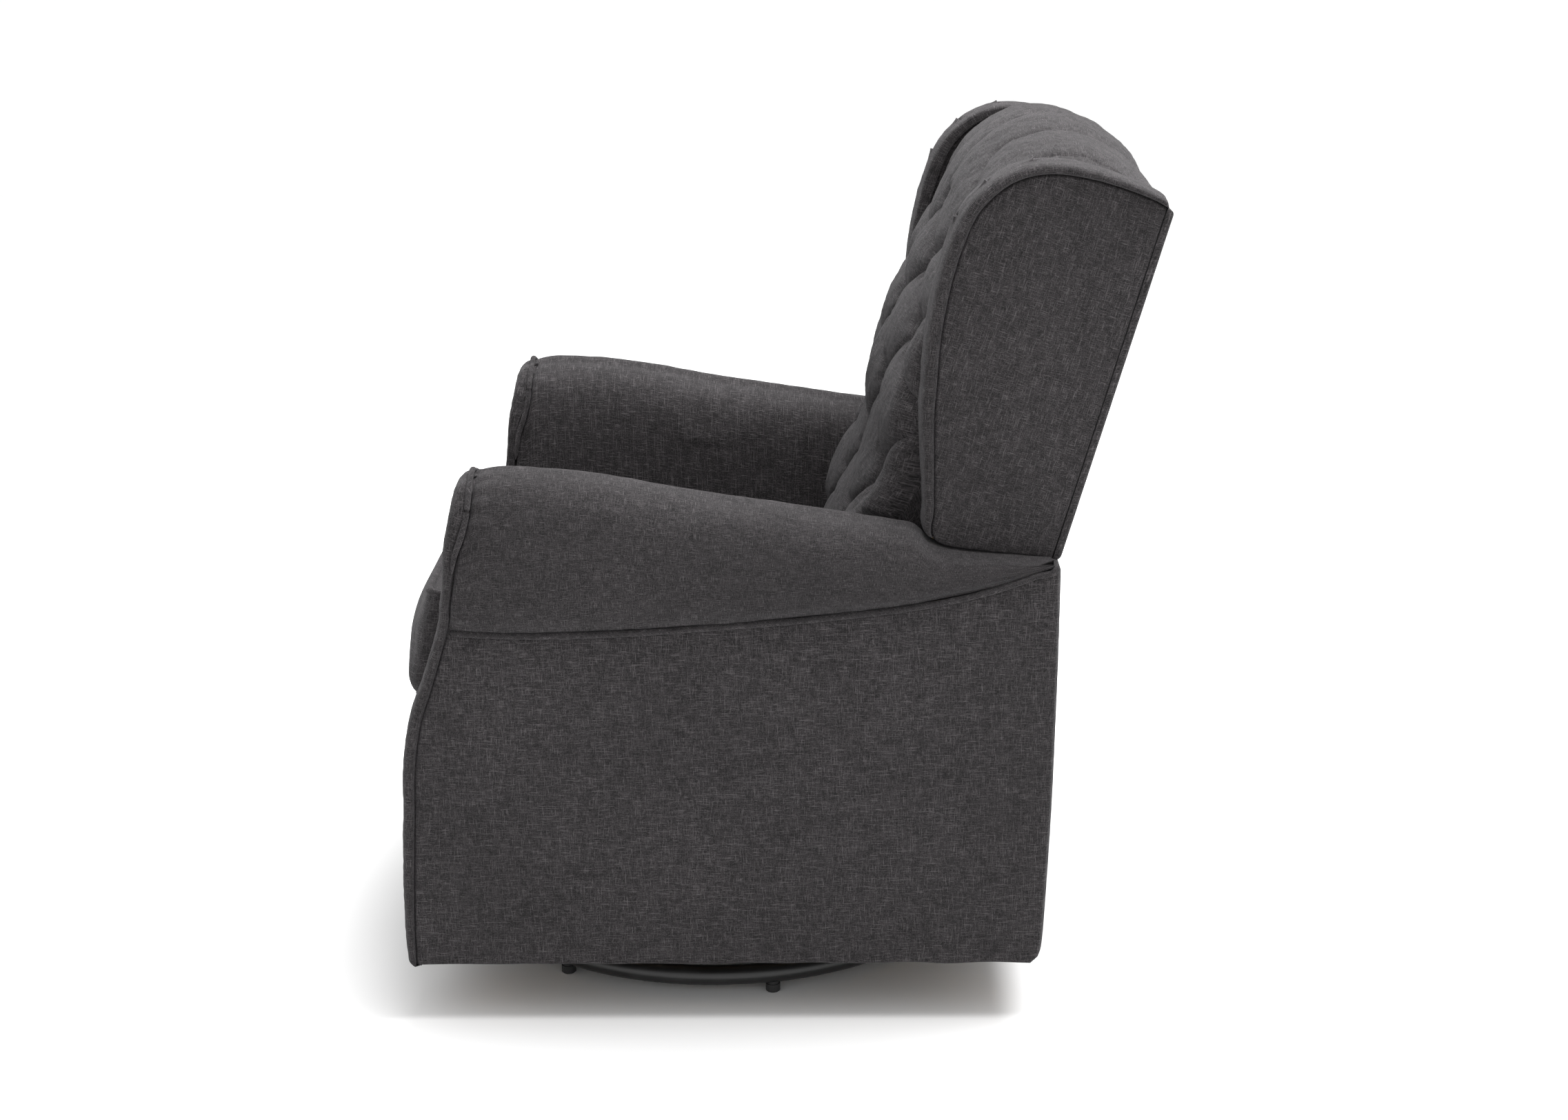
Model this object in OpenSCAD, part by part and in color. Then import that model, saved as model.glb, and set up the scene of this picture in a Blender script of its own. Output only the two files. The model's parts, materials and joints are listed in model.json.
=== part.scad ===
// Upholstered glider chair that also swivels: a steel ring base, a ball turntable,
// four swing links and a padded seat body with a raked wing back.
// Frame: millimetres, +Z up, the sitter faces -Y and the sitter's left is +X.
// The origin is on the floor under the middle of the overall box.

/* [Overall size] */
// Depth from the cushion's nose to the top rear edge of the back
overall_d = 922; // [800:1:1100]
// Clear width between the arms
seat_clear_w = 510; // [420:1:640]
// Width of each arm, from its inner face to its side panel's face
arm_w = 122; // [110:1:170]
// Height of the hem above the floor
hem_z = 72; // [66:1:110]

/* [Seat] */
// Height of the front seat rail's top
seat_rail_z = 350; // [330:1:400]
// Angle that the seat plane falls towards the back
seat_pitch = 6; // [0:0.5:9]
// Distance from the cushion's nose back to the front seat rail
nose_overhang = 51; // [40:1:70]
// Distance from the seat frame's rear face back to the outside back's lower edge
frame_to_back = 53; // [45:1:80]
// Thickness of the seat cushion at its welts
cushion_t = 131; // [90:1:150]
// Rise of the cushion's crown above its welts
cushion_crown = 9; // [2:1:16]
// Depth of the seat cushion, front welt to rear welt
cushion_d = 465; // [420:1:480]
// Height of the seat rails
rail_h = 90; // [80:1:110]
// Thickness of the rails and other solid timber
timber_t = 25; // [18:1:28]

/* [Arms] */
// Height of the arm's front tip
arm_front_z = 681; // [650:1:740]
// Height of the side seam at the front of the arm
seam_front_z = 490; // [460:1:520]
// How far the arm pad swells out past the side panel
arm_bulge = 15; // [4:1:24]
// Thickness of the outer side panels
side_panel_t = 14; // [8:1:20]
// Thickness of the padding inside the arm
inside_arm_t = 20; // [12:1:26]
// Thickness of the plywood side boards
board_t = 18; // [12:1:20]
// Thickness of the padded arm facing
facing_t = 12; // [8:1:16]

/* [Back] */
// Angle that the back leans from upright
back_rake = 16.6; // [10:0.1:20]
// Length of the outside back along its rake
back_len = 413; // [380:1:460]
// Height of the outside back's lower edge
back_foot_z = 568; // [540:1:600]
// Thickness of each wing
wing_t = 63; // [50:1:75]
// How far a wing's outer face stands inside the side panel's face
wing_inset = 32; // [20:1:40]
// How far the back pad's crown stands above the outside back
crown_rise = 45; // [30:1:60]
// Depth from the outside back to the front of the back pad
back_pad_d = 256; // [230:1:280]

/* [Glide linkage] */
// Distance from the turntable's axis to each pair of hangers
hanger_y = 130; // [110:1:150]
// Height of the upper pivots
upper_pivot_z = 194; // [185:1:205]
// Length of each swing link between its pivots
link_len = 102; // [85:1:105]
// Radius of the pivot pins
pin_r = 5; // [4:0.5:6]
// Radial running clearance of pins and the kingpin
run_gap = 0.05; // [0.02:0.01:0.1]
// Thickness of the links, hangers and seat brackets
plate_t = 4; // [3:0.5:5]

/* [Base] */
// Radius of the ring's centreline
ring_r = 303; // [270:1:330]
// Radius of the ring's tube
tube_r = 12.5; // [10:0.5:16]
// Height of the glide feet under the ring
foot_h = 13; // [10:1:20]
// Number of glide feet
foot_count = 7; // [4:1:8]
// Angle of the first foot from +X
foot_start = 13.5; // [0:0.5:45]
// Distance of the turntable's axis in front of the origin
axis_setback = 70; // [40:1:90]
// Half the spacing of the two cross bars
bar_y = 70; // [60:1:80]
// Radius of the kingpin
kingpin_r = 10; // [8:0.5:12]
// Number of balls in the turntable
ball_count = 24; // [12:1:30]

/* [Hidden] */

$fn = 48;
left = 1;
right = -1;
gap = 0.3;          // between upholstered pieces and what is beside them
cut = 1;            // how far a cutting shape runs past what it cuts

// Widths, measured from the chair's middle plane
arm_in = seat_clear_w / 2;
arm_out = arm_in + arm_w;
board_in = arm_in + inside_arm_t;
board_out = board_in + board_t;
panel_in = arm_out - side_panel_t;
wing_out = arm_out - wing_inset;
wing_in = wing_out - wing_t;
rail_out = board_in;
rail_in = rail_out - timber_t;

// Depths and heights of the seat frame
rail_front_y = -overall_d / 2 + nose_overhang;
back_y = overall_d / 2 - back_len * sin(back_rake); // where the back's own frame starts
rail_rear_y = back_y - frame_to_back;
seat_frame_len = rail_rear_y - rail_front_y;
axis_y = -axis_setback;
rail_setback = 14;  // the side rails start this far behind the front rail's face, clear of the arm facings
pitch_slope = tan(seat_pitch);
function seat_z(y) = seat_rail_z - (y - rail_front_y) * pitch_slope;

// Stack of layers on the rails: springs, clips, deck, cushion
spring_t = 3.8;
clip_t = 1.2;
deck_t = 9;
deck_z = spring_t + clip_t + 0.2;
cushion_z = deck_z + deck_t + gap;

outside_back_t = 8;
body_rear_y = back_y - 11;

// Catmull-Rom curve through a list of points, with n steps between neighbours
function blend(a, b, c, d, t) =
    0.5 * (2 * b + (c - a) * t + (2 * a - 5 * b + 4 * c - d) * t * t + (3 * b - a - 3 * c + d) * t * t * t);
function smooth(p, n = 4) = let (last = len(p) - 1) concat(
    [for (i = [0:last - 1], s = [0:n - 1])
        blend(p[max(i - 1, 0)], p[i], p[i + 1], p[min(i + 2, last)], s / n)],
    [p[last]]
);
function reversed(p) = [for (i = [len(p) - 1:-1:0]) p[i]];

// Solid between two widths whose side view is an outline of [y, z] points
module slab(x0, x1, outline) {
    translate([x0, 0, 0])
        rotate([90, 0, 90])
            linear_extrude(x1 - x0)
                polygon(outline);
}

// The same on the left side, or mirrored to the right
module side_slab(side, x0, x1, outline) {
    slab(side == left ? x0 : -x1, side == left ? x1 : -x0, outline);
}

// Rod along X between two widths
module rod_x(x0, x1, y, z, r) {
    translate([x0, y, z])
        rotate([0, 90, 0])
            cylinder(h = x1 - x0, r = r);
}

module side_rod(side, x0, x1, y, z, r) {
    rod_x(side == left ? x0 : -x1, side == left ? x1 : -x0, y, z, r);
}

// The back's own frame: outline points are [-depth from the outside back, length up the rake]
module in_back() {
    translate([0, back_y, back_foot_z])
        rotate([-back_rake, 0, 0])
            children();
}

// The seat's own frame: y runs back along the seat plane, z stands off the rails' tops
module in_seat() {
    translate([0, rail_front_y, seat_rail_z])
        rotate([-seat_pitch, 0, 0])
            children();
}

// ---- Arm outline ----
// The arm's front edge sweeps back as it rises: [share of the arm's height, setback]
arm_front_y = rail_front_y - 14;
arm_h = arm_front_z - hem_z;
front_sweep = [[0, 0], [0.13, 0], [0.27, 5], [0.42, 13], [0.55, 31], [0.69, 55], [0.82, 74], [0.94, 90]];
front_edge = smooth([for (s = front_sweep) [arm_front_y + s[1], hem_z + s[0] * arm_h]], 2);
tip_y = arm_front_y + 98;

// Rear part of the arm's top runs just under the wing
function on_back(u, v) = [
    back_y - u * cos(back_rake) + v * sin(back_rake),
    back_foot_z + u * sin(back_rake) + v * cos(back_rake)
];
wing_foot_u = 168;
wing_foot_v = -3;
arm_under_wing = -5;
arm_rear = on_back(13, arm_under_wing);
arm_dip = on_back(wing_foot_u - 6, arm_under_wing);
arm_top_edge = smooth([
    [tip_y, arm_front_z],
    [tip_y + 46, arm_front_z - 5],
    [tip_y + (arm_dip[0] - tip_y) * 0.42, arm_front_z - (arm_front_z - arm_dip[1]) * 0.42],
    arm_dip
], 4);

// Seam between the side panel and the arm pad; its middle points keep their share of the arm's length
arm_len = arm_rear[0] - arm_front_y;
seam_edge = smooth([
    [arm_front_y + 58, seam_front_z + 3],
    [arm_front_y + 130, seam_front_z],
    [arm_front_y + 0.4 * arm_len, seam_front_z + 6],
    [arm_front_y + 0.665 * arm_len, seam_front_z + 24],
    [arm_front_y + 0.92 * arm_len, arm_rear[1] - 30],
    arm_rear
], 4);
function seam_z(y) = lookup(y, seam_edge);
function above(p, dz) = [for (q = p) q + [0, dz]];
function behind(p, dy) = [for (q = p) q + [dy, 0]];
front_edge_low = [for (q = front_edge) if (q[1] < seam_front_z - 4) q];
front_edge_high = [for (q = front_edge) if (q[1] > seam_front_z + 8) q];

// ---- Wing outline, in the back's frame ----
wing_edge = smooth([
    [-wing_foot_u, wing_foot_v], [-186, 63], [-203, 121], [-220, 200], [-228, 262],
    [-226, 306], [-217, 352], [-198, 390], [-160, 419]
], 3);
wing_top = back_len + 12;
wing_outline = concat(
    [[-outside_back_t - gap, wing_foot_v]],
    wing_edge,
    [[-110, wing_top], [-50, wing_top - 2], [-outside_back_t - gap, back_len + 4]]
);

// ---- Timber positions in the back's frame ----
back_rail_u = 20;
stile_u = back_rail_u + timber_t;
stile_depth = 40;
stile_out = rail_in;
stile_in = stile_out - timber_t;
web_t = 2;
pad_rear_u = stile_u + stile_depth + web_t + gap;
top_rail_v = back_len - 63;
mid_rail_v = 30;
bottom_rail_v = -190;
back_rail_h = 40;
wing_board_in = wing_in + 18;
wing_board_t = board_t;

// ---- Base heights ----
ring_z = foot_h - 1 + tube_r;
bar_t = 6;
bar_z = ring_z + tube_r - 1;
turntable_t = 3;
lower_plate_z = bar_z + bar_t;
ball_r = 4;
race_r = 85;
upper_plate_z = lower_plate_z + turntable_t + 2 * ball_r;
spreader_z = upper_plate_z + turntable_t;
spreader_w = 25;
spreader_wall = 2;
upper_plate_w = 2 * hanger_y + 30;
lower_plate_w = 200;
bolt_r = 4;
bolt_head_r = 6.5;
base_bolt_x = 85;
swivel_bolt_x = 100;
link_end_r = 16;
bush_r = 8;
lower_pivot_z = upper_pivot_z - link_len;

// Layers of the glide linkage, from the seat rail inwards
bracket_out = rail_in;
bracket_in = bracket_out - plate_t;
link_out = bracket_in - 1.5;
link_in = link_out - plate_t;
hanger_out = link_in - 1.5;
hanger_in = hanger_out - plate_t;
hanger_w = 40;

// ================= Base =================
module ring_solid(r) {
    translate([0, axis_y, ring_z])
        rotate_extrude($fn = 96)
            translate([ring_r, 0])
                circle(r = r, $fn = 24);
}

module base_ring() {
    color("#151515") ring_solid(tube_r);
}

// Two flat bars across the ring, welded down into shallow saddles
module base_bars() {
    bar_w = 50;
    bar_len = 2 * sqrt(ring_r * ring_r - pow(bar_y + bar_w / 2, 2));
    color("#191919") difference() {
        for (y = [-bar_y, bar_y])
            translate([-bar_len / 2, axis_y + y - bar_w / 2, bar_z])
                cube([bar_len, bar_w, bar_t]);
        ring_solid(tube_r);
        base_bolt_places()
            translate([0, 0, bar_z - cut])
                cylinder(h = bar_t + 2 * cut, r = bolt_r);
    }
}

module foot_glides() {
    color("#101010") difference() {
        for (i = [0:foot_count - 1])
            rotate_about_axis(foot_start + i * 360 / foot_count)
                translate([ring_r, 0, 0])
                    union() {
                        cylinder(h = foot_h + 3, r = 7.5);
                        translate([0, 0, 1.5])
                            cylinder(h = foot_h - 4, r = 9);
                    }
        ring_solid(tube_r);
    }
}

module rotate_about_axis(angle) {
    translate([0, axis_y, 0])
        rotate([0, 0, angle])
            children();
}

module base_bolt_places() {
    for (x = [-base_bolt_x, base_bolt_x], y = [-bar_y, bar_y])
        translate([x, axis_y + y, 0])
            children();
}

module swivel_bolt_places() {
    for (x = [-swivel_bolt_x, swivel_bolt_x], y = [-hanger_y, hanger_y])
        translate([x, axis_y + y, 0])
            children();
}

module turntable_lower_plate() {
    color("#9a9c9e") difference() {
        translate([-lower_plate_w / 2, axis_y - lower_plate_w / 2, lower_plate_z])
            cube([lower_plate_w, lower_plate_w, turntable_t]);
        translate([0, axis_y, lower_plate_z - cut])
            cylinder(h = turntable_t + 2 * cut, r = kingpin_r + run_gap);
        base_bolt_places()
            translate([0, 0, lower_plate_z - cut])
                cylinder(h = turntable_t + 2 * cut, r = bolt_r);
    }
}

// Low round heads above the plate and hexagon nuts under the bars
module base_bolts() {
    color("#b4b6b8") base_bolt_places() {
        translate([0, 0, bar_z - 6])
            cylinder(h = bar_t + turntable_t + 6.5, r = bolt_r);
        translate([0, 0, lower_plate_z + turntable_t])
            cylinder(h = 3.2, r = bolt_head_r);
        translate([0, 0, bar_z - 5])
            cylinder(h = 5, r = 7.2, $fn = 6);
    }
}

// ================= Swivel =================
module turntable_upper_plate() {
    color("#a2a4a6") difference() {
        translate([-upper_plate_w / 2, axis_y - upper_plate_w / 2, upper_plate_z])
            cube([upper_plate_w, upper_plate_w, turntable_t]);
        translate([0, axis_y, upper_plate_z - cut])
            cylinder(h = turntable_t + 2 * cut, r = kingpin_r);
        swivel_bolt_places()
            translate([0, 0, upper_plate_z - cut])
                cylinder(h = turntable_t + 2 * cut, r = bolt_r);
    }
}

module bearing_balls() {
    color("#d4d6d8") for (i = [0:ball_count - 1])
        rotate_about_axis(i * 360 / ball_count)
            translate([race_r, 0, lower_plate_z + turntable_t + ball_r])
                sphere(r = ball_r - 0.05, $fn = 24);
}

module kingpin() {
    head_r = kingpin_r + 6;
    color("#8e9092") translate([0, axis_y, 0]) {
        translate([0, 0, lower_plate_z - 3.5])
            cylinder(h = 3.5 - gap, r = head_r);
        translate([0, 0, lower_plate_z - gap - 1])
            cylinder(h = upper_plate_z + turntable_t - lower_plate_z + gap + 1, r = kingpin_r);
        translate([0, 0, upper_plate_z + turntable_t])
            cylinder(h = 3, r = head_r);
    }
}

module spreader(y) {
    inner = spreader_w - 2 * spreader_wall;
    difference() {
        translate([-hanger_in, axis_y + y - spreader_w / 2, spreader_z])
            cube([2 * hanger_in, spreader_w, spreader_w]);
        translate([-hanger_in - cut, axis_y + y - inner / 2, spreader_z + spreader_wall])
            cube([2 * hanger_in + 2 * cut, inner, inner]);
        swivel_bolt_places()
            translate([0, 0, spreader_z - cut])
                cylinder(h = spreader_wall + 2 * cut, r = bolt_r);
    }
}

module spreader_front() {
    color("#1b1b1b") spreader(-hanger_y);
}

module spreader_rear() {
    color("#1b1b1b") spreader(hanger_y);
}

// Four upright plates welded to the ends of the spreaders
module hangers() {
    color("#1f1f1f") difference() {
        for (side = [left, right], y = [-hanger_y, hanger_y]) {
            side_slab(side, hanger_in, hanger_out, [
                [axis_y + y - hanger_w / 2, spreader_z],
                [axis_y + y + hanger_w / 2, spreader_z],
                [axis_y + y + link_end_r, upper_pivot_z],
                [axis_y + y - link_end_r, upper_pivot_z]
            ]);
            side_rod(side, hanger_in, hanger_out, axis_y + y, upper_pivot_z, link_end_r);
        }
        for (side = [left, right], y = [-hanger_y, hanger_y])
            side_rod(side, hanger_in - cut, hanger_out + cut, axis_y + y, upper_pivot_z, pin_r);
    }
}

module upper_pivot_pins() {
    color("#c3c5c7") for (side = [left, right], y = [-hanger_y, hanger_y]) {
        side_rod(side, hanger_in - cut, link_out + 0.8, axis_y + y, upper_pivot_z, pin_r);
        side_rod(side, hanger_in - 5, hanger_in, axis_y + y, upper_pivot_z, pin_r + 4);
    }
}

module swivel_bolts() {
    color("#b4b6b8") swivel_bolt_places() {
        translate([0, 0, upper_plate_z - 3])
            cylinder(h = turntable_t + spreader_wall + 8, r = bolt_r);
        translate([0, 0, upper_plate_z - 3])
            cylinder(h = 3, r = bolt_head_r);
        translate([0, 0, spreader_z + spreader_wall])
            cylinder(h = 5, r = 7.2, $fn = 6);
    }
}

// ================= Swing links =================
module swing_link(side, y) {
    difference() {
        union() {
            side_slab(side, link_in, link_out, [
                [axis_y + y - link_end_r, lower_pivot_z],
                [axis_y + y + link_end_r, lower_pivot_z],
                [axis_y + y + link_end_r, upper_pivot_z],
                [axis_y + y - link_end_r, upper_pivot_z]
            ]);
            for (z = [lower_pivot_z, upper_pivot_z])
                side_rod(side, link_in, link_out, axis_y + y, z, link_end_r);
        }
        for (z = [lower_pivot_z, upper_pivot_z])
            side_rod(side, link_in - cut, link_out + cut, axis_y + y, z, bush_r);
    }
}

// Nylon bushes with a flange on the side that each link rubs on
module link_bushes(y) {
    flange_t = 1.1;
    difference() {
        for (side = [left, right]) {
            for (z = [lower_pivot_z, upper_pivot_z])
                side_rod(side, link_in, link_out, axis_y + y, z, bush_r);
            side_rod(side, link_in - flange_t, link_in, axis_y + y, upper_pivot_z, bush_r + 3);
            side_rod(side, link_out, link_out + flange_t, axis_y + y, lower_pivot_z, bush_r + 3);
        }
        for (side = [left, right], z = [lower_pivot_z, upper_pivot_z])
            side_rod(side, link_in - 3, link_out + 3, axis_y + y, z, pin_r + run_gap);
    }
}

module front_link_left() {
    color("#252525") swing_link(left, -hanger_y);
}

module front_link_right() {
    color("#252525") swing_link(right, -hanger_y);
}

module front_link_bushes() {
    color("#e4e2d8") link_bushes(-hanger_y);
}

module rear_link_left() {
    color("#252525") swing_link(left, hanger_y);
}

module rear_link_right() {
    color("#252525") swing_link(right, hanger_y);
}

module rear_link_bushes() {
    color("#e4e2d8") link_bushes(hanger_y);
}

// ================= Seat mechanism =================
bracket_bolt_y = [-110, -40, 40, 110];
function bracket_bolt_z(y) = seat_z(axis_y + y) - rail_h / 2;

// Steel plate bolted to the inner face of a side rail, hanging down to the lower pivots
module seat_bracket(side) {
    reach = hanger_y + link_end_r + 4;
    low = lower_pivot_z - link_end_r;
    difference() {
        side_slab(side, bracket_in, bracket_out, [
            [axis_y - reach, low + 8], [axis_y - reach + 8, low],
            [axis_y + reach - 8, low], [axis_y + reach, low + 8],
            [axis_y + reach - 18, seat_z(axis_y + reach) - 12],
            [axis_y - reach + 18, seat_z(axis_y - reach) - 12]
        ]);
        for (y = [-hanger_y, hanger_y])
            side_rod(side, bracket_in - cut, bracket_out + cut, axis_y + y, lower_pivot_z, pin_r);
        for (y = bracket_bolt_y)
            side_rod(side, bracket_in - cut, bracket_out + cut, axis_y + y, bracket_bolt_z(y), bolt_r);
    }
}

module seat_bracket_left() {
    color("#202020") seat_bracket(left);
}

module seat_bracket_right() {
    color("#202020") seat_bracket(right);
}

module lower_pivot_pins() {
    color("#c3c5c7") for (side = [left, right], y = [-hanger_y, hanger_y]) {
        side_rod(side, link_in - 0.8, bracket_out + cut, axis_y + y, lower_pivot_z, pin_r);
        side_rod(side, bracket_out, bracket_out + 4, axis_y + y, lower_pivot_z, pin_r + 4);
    }
}

module bracket_bolts() {
    color("#b4b6b8") for (side = [left, right], y = bracket_bolt_y) {
        side_rod(side, bracket_in - 3.5, bracket_in, axis_y + y, bracket_bolt_z(y), bolt_head_r);
        side_rod(side, bracket_in - 1, rail_out - 3, axis_y + y, bracket_bolt_z(y), bolt_r);
    }
}

// ================= Seat frame =================
module side_rail(side) {
    y0 = rail_front_y + rail_setback;
    y1 = rail_rear_y - timber_t;
    difference() {
        side_slab(side, rail_in, rail_out, [
            [y0, seat_z(y0) - rail_h], [y1, seat_z(y1) - rail_h],
            [y1, seat_z(y1)], [y0, seat_z(y0)]
        ]);
        for (y = bracket_bolt_y)
            side_rod(side, rail_in - cut, rail_out - 3, axis_y + y, bracket_bolt_z(y), bolt_r);
    }
}

module side_rail_left() {
    color("#c9a774") side_rail(left);
}

module side_rail_right() {
    color("#c9a774") side_rail(right);
}

module cross_rail(y0, half_w) {
    y1 = y0 + timber_t;
    slab(-half_w, half_w, [
        [y0, seat_z(y0) - rail_h], [y1, seat_z(y1) - rail_h],
        [y1, seat_z(y1)], [y0, seat_z(y0)]
    ]);
}

module front_rail() {
    color("#c4a06c") cross_rail(rail_front_y, rail_in);
}

module rear_rail() {
    color("#c4a06c") cross_rail(rail_rear_y - timber_t, rail_out);
}

// Glued blocks in the four corners, level with the rails' tops
module corner_blocks() {
    leg = 52;
    drop = 12;
    block_h = rail_h - 24;
    color("#b98f5a") for (side = [left, right]) {
        translate([0, rail_front_y + timber_t, seat_z(rail_front_y + timber_t + leg) - drop - block_h])
            linear_extrude(block_h)
                polygon([[side * rail_in, 0], [side * rail_in, leg], [side * (rail_in - leg), 0]]);
        translate([0, rail_rear_y - timber_t, seat_z(rail_rear_y - timber_t) - drop - block_h])
            linear_extrude(block_h)
                polygon([[side * rail_in, 0], [side * rail_in, -leg], [side * (rail_in - leg), 0]]);
    }
}

// Sinuous springs: a flat wave of wire from the front rail to the rear rail
spring_count = 5;
spring_pitch = 30;
spring_amp = 22;
wire_w = 4;
spring_y0 = 14;
spring_span = seat_frame_len / cos(seat_pitch) - 2 * spring_y0;
spring_waves = round(spring_span / spring_pitch);
wave_len = spring_span / spring_waves;
function spring_x(i) = (i - (spring_count - 1) / 2) * 90;
function wave(y) = spring_amp * max(-1, min(1, 1.7 * sin(180 * (y - spring_y0) / wave_len)));
function wave_slope(y) = (wave(y + 0.5) - wave(y - 0.5));
wave_steps = 8;
wave_y = [for (i = [0:spring_waves * wave_steps]) spring_y0 + i * wave_len / wave_steps];
function wave_side(s) = [for (y = wave_y)
    let (m = wave_slope(y), k = s * wire_w / 2 / sqrt(1 + m * m))
    [wave(y) + k, y - k * m]
];

module seat_springs() {
    color("#8b8d8f") in_seat()
        for (i = [0:spring_count - 1])
            translate([spring_x(i), 0, 0])
                linear_extrude(spring_t)
                    polygon(concat(wave_side(1), reversed(wave_side(-1))));
}

module spring_clips() {
    clip_d = 20;
    color("#a5a7a9") in_seat()
        for (i = [0:spring_count - 1], y = [2, spring_span + 2 * spring_y0 - clip_d - 2])
            translate([spring_x(i) - 9, y, spring_t])
                cube([18, clip_d, clip_t]);
}

module seat_deck() {
    deck_len = seat_frame_len - 120;
    stile_slot = 1;
    color("#7d7468") difference() {
        in_seat()
            translate([-arm_in + gap, 2, deck_z])
                cube([2 * (arm_in - gap), deck_len, deck_t]);
        for (side = [left, right])
            in_back()
                side_slab(side, stile_in - stile_slot, arm_in + cut, [
                    [-stile_u - stile_depth - stile_slot, -500], [-stile_u + stile_slot + 60, -500],
                    [-stile_u + stile_slot + 60, 0], [-stile_u - stile_depth - stile_slot, 0]
                ]);
    }
}

// Boxed cushion: a bulging nose, a low crown and a flat underside, in the seat's frame
nose_z = cushion_z + cushion_t * 0.42;
nose_y = (nose_overhang + nose_z * sin(seat_pitch)) / cos(seat_pitch);
cushion_front = nose_y - 24;
cushion_sketch = concat(
    smooth([
        [-cushion_front, cushion_z], [-nose_y + 7, cushion_z + cushion_t * 0.14], [-nose_y, nose_z],
        [-nose_y + 6, cushion_z + cushion_t * 0.72], [-cushion_front + 16, cushion_z + cushion_t]
    ], 4),
    smooth([
        [-cushion_front + 30, cushion_z + cushion_t + 2],
        [-cushion_front + 60, cushion_z + cushion_t + cushion_crown * 0.7],
        [-cushion_front + cushion_d * 0.5, cushion_z + cushion_t + cushion_crown],
        [-cushion_front + cushion_d - 40, cushion_z + cushion_t + cushion_crown * 0.5],
        [-cushion_front + cushion_d, cushion_z + cushion_t]
    ], 3),
    [[-cushion_front + cushion_d, cushion_z]]
);
// The curve's own foremost point is moved onto the front of the overall box
nose_reach = min([for (q = cushion_sketch) q[0] * cos(seat_pitch) + q[1] * sin(seat_pitch)]);
nose_shift = (-nose_overhang - nose_reach) / cos(seat_pitch);
cushion_outline = behind(cushion_sketch, nose_shift);

module seat_cushion() {
    color("#4b4b4d") in_seat()
        slab(-arm_in + 2, arm_in - 2, cushion_outline);
}

// Thin black cloth stretched between the rails under the springs
module dust_cover() {
    cover_t = 1.5;
    cover_drop = 62;
    color("#2a2a2a") in_seat()
        translate([-bracket_in + gap, timber_t + cover_drop * pitch_slope + 60, -cover_drop])
            cube([2 * (bracket_in - gap), seat_frame_len - 2 * timber_t - 130, cover_t]);
}

// ================= Arms =================
board_low = hem_z + 13;
board_front = [for (q = front_edge_low) if (q[1] > board_low) q + [14, 0]];
top_board_t = 18;
top_board_drop = 40;
top_board_y0 = tip_y + 12;
top_board_y1 = arm_dip[0] + 20;
top_board_z0 = arm_front_z - top_board_drop;
top_board_z1 = arm_dip[1] - top_board_drop + 4;
function top_board_z(y) =
    top_board_z0 + (y - top_board_y0) * (top_board_z1 - top_board_z0) / (top_board_y1 - top_board_y0);

// Plywood board that carries the arm, with two lightening holes
module side_board(side) {
    rear = body_rear_y - 24;
    difference() {
        side_slab(side, board_in, board_out, concat(
            [[arm_front_y + 14, board_low]],
            board_front,
            [
                [top_board_y0 + 4, top_board_z(top_board_y0 + 4) - top_board_t],
                [top_board_y1, top_board_z(top_board_y1) - top_board_t],
                [rear, arm_rear[1] - 44],
                [rear, board_low]
            ]
        ));
        for (y = [-200, 60])
            side_rod(side, board_in - cut, board_out + cut, axis_y + y, lower_pivot_z + 60, 45);
    }
}

module side_board_left() {
    color("#d4b685") side_board(left);
}

module side_board_right() {
    color("#d4b685") side_board(right);
}

// Posts that hold each side panel off its plywood board
module arm_posts() {
    post_w = 45;
    front_post_y = arm_front_y + 62;
    rear_post_y = body_rear_y - 24 - post_w;
    color("#c09a63") for (side = [left, right]) {
        side_slab(side, board_out, panel_in - gap, [
            [front_post_y, board_low], [front_post_y + post_w, board_low],
            [front_post_y + post_w, seam_front_z - 20], [front_post_y, seam_front_z - 20]
        ]);
        side_slab(side, board_out, panel_in - gap, [
            [rear_post_y, board_low], [rear_post_y + post_w, board_low],
            [rear_post_y + post_w, seam_front_z + 4], [rear_post_y, seam_front_z + 4]
        ]);
    }
}

module arm_top_board(side) {
    side_slab(side, board_in, arm_out - 22, [
        [top_board_y0, top_board_z(top_board_y0) - top_board_t],
        [top_board_y1, top_board_z(top_board_y1) - top_board_t],
        [top_board_y1, top_board_z(top_board_y1)],
        [top_board_y0, top_board_z(top_board_y0)]
    ]);
}

module arm_top_board_left() {
    color("#caa873") arm_top_board(left);
}

module arm_top_board_right() {
    color("#caa873") arm_top_board(right);
}

// Padding on the arm's inner face, from the seat rail up to the level of the side seam
module inside_arm(side) {
    rear = body_rear_y - 22;
    side_slab(side, arm_in, board_in - gap, concat(
        [[arm_front_y + 22, seat_z(arm_front_y + 22) + gap]],
        above([for (q = seam_edge) if (q[0] < rear - 10) q], -gap),
        [[rear, arm_rear[1] - 24], [rear, seat_z(rear) + gap]]
    ));
}

module inside_arm_left() {
    color("#565658") inside_arm(left);
}

module inside_arm_right() {
    color("#565658") inside_arm(right);
}

// Outer panel, from the hem up to the side seam
module side_panel(side) {
    rear = body_rear_y - 12 - gap;
    side_slab(side, panel_in, arm_out, concat(
        reversed(above([for (q = seam_edge) if (q[0] < rear - 4) q], -gap)),
        reversed(behind(front_edge_low, gap)),
        [[rear - 8, hem_z], [rear, seam_z(rear) - gap]]
    ));
}

module side_panel_left() {
    color("#48484a") side_panel(left);
}

module side_panel_right() {
    color("#48484a") side_panel(right);
}

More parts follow.
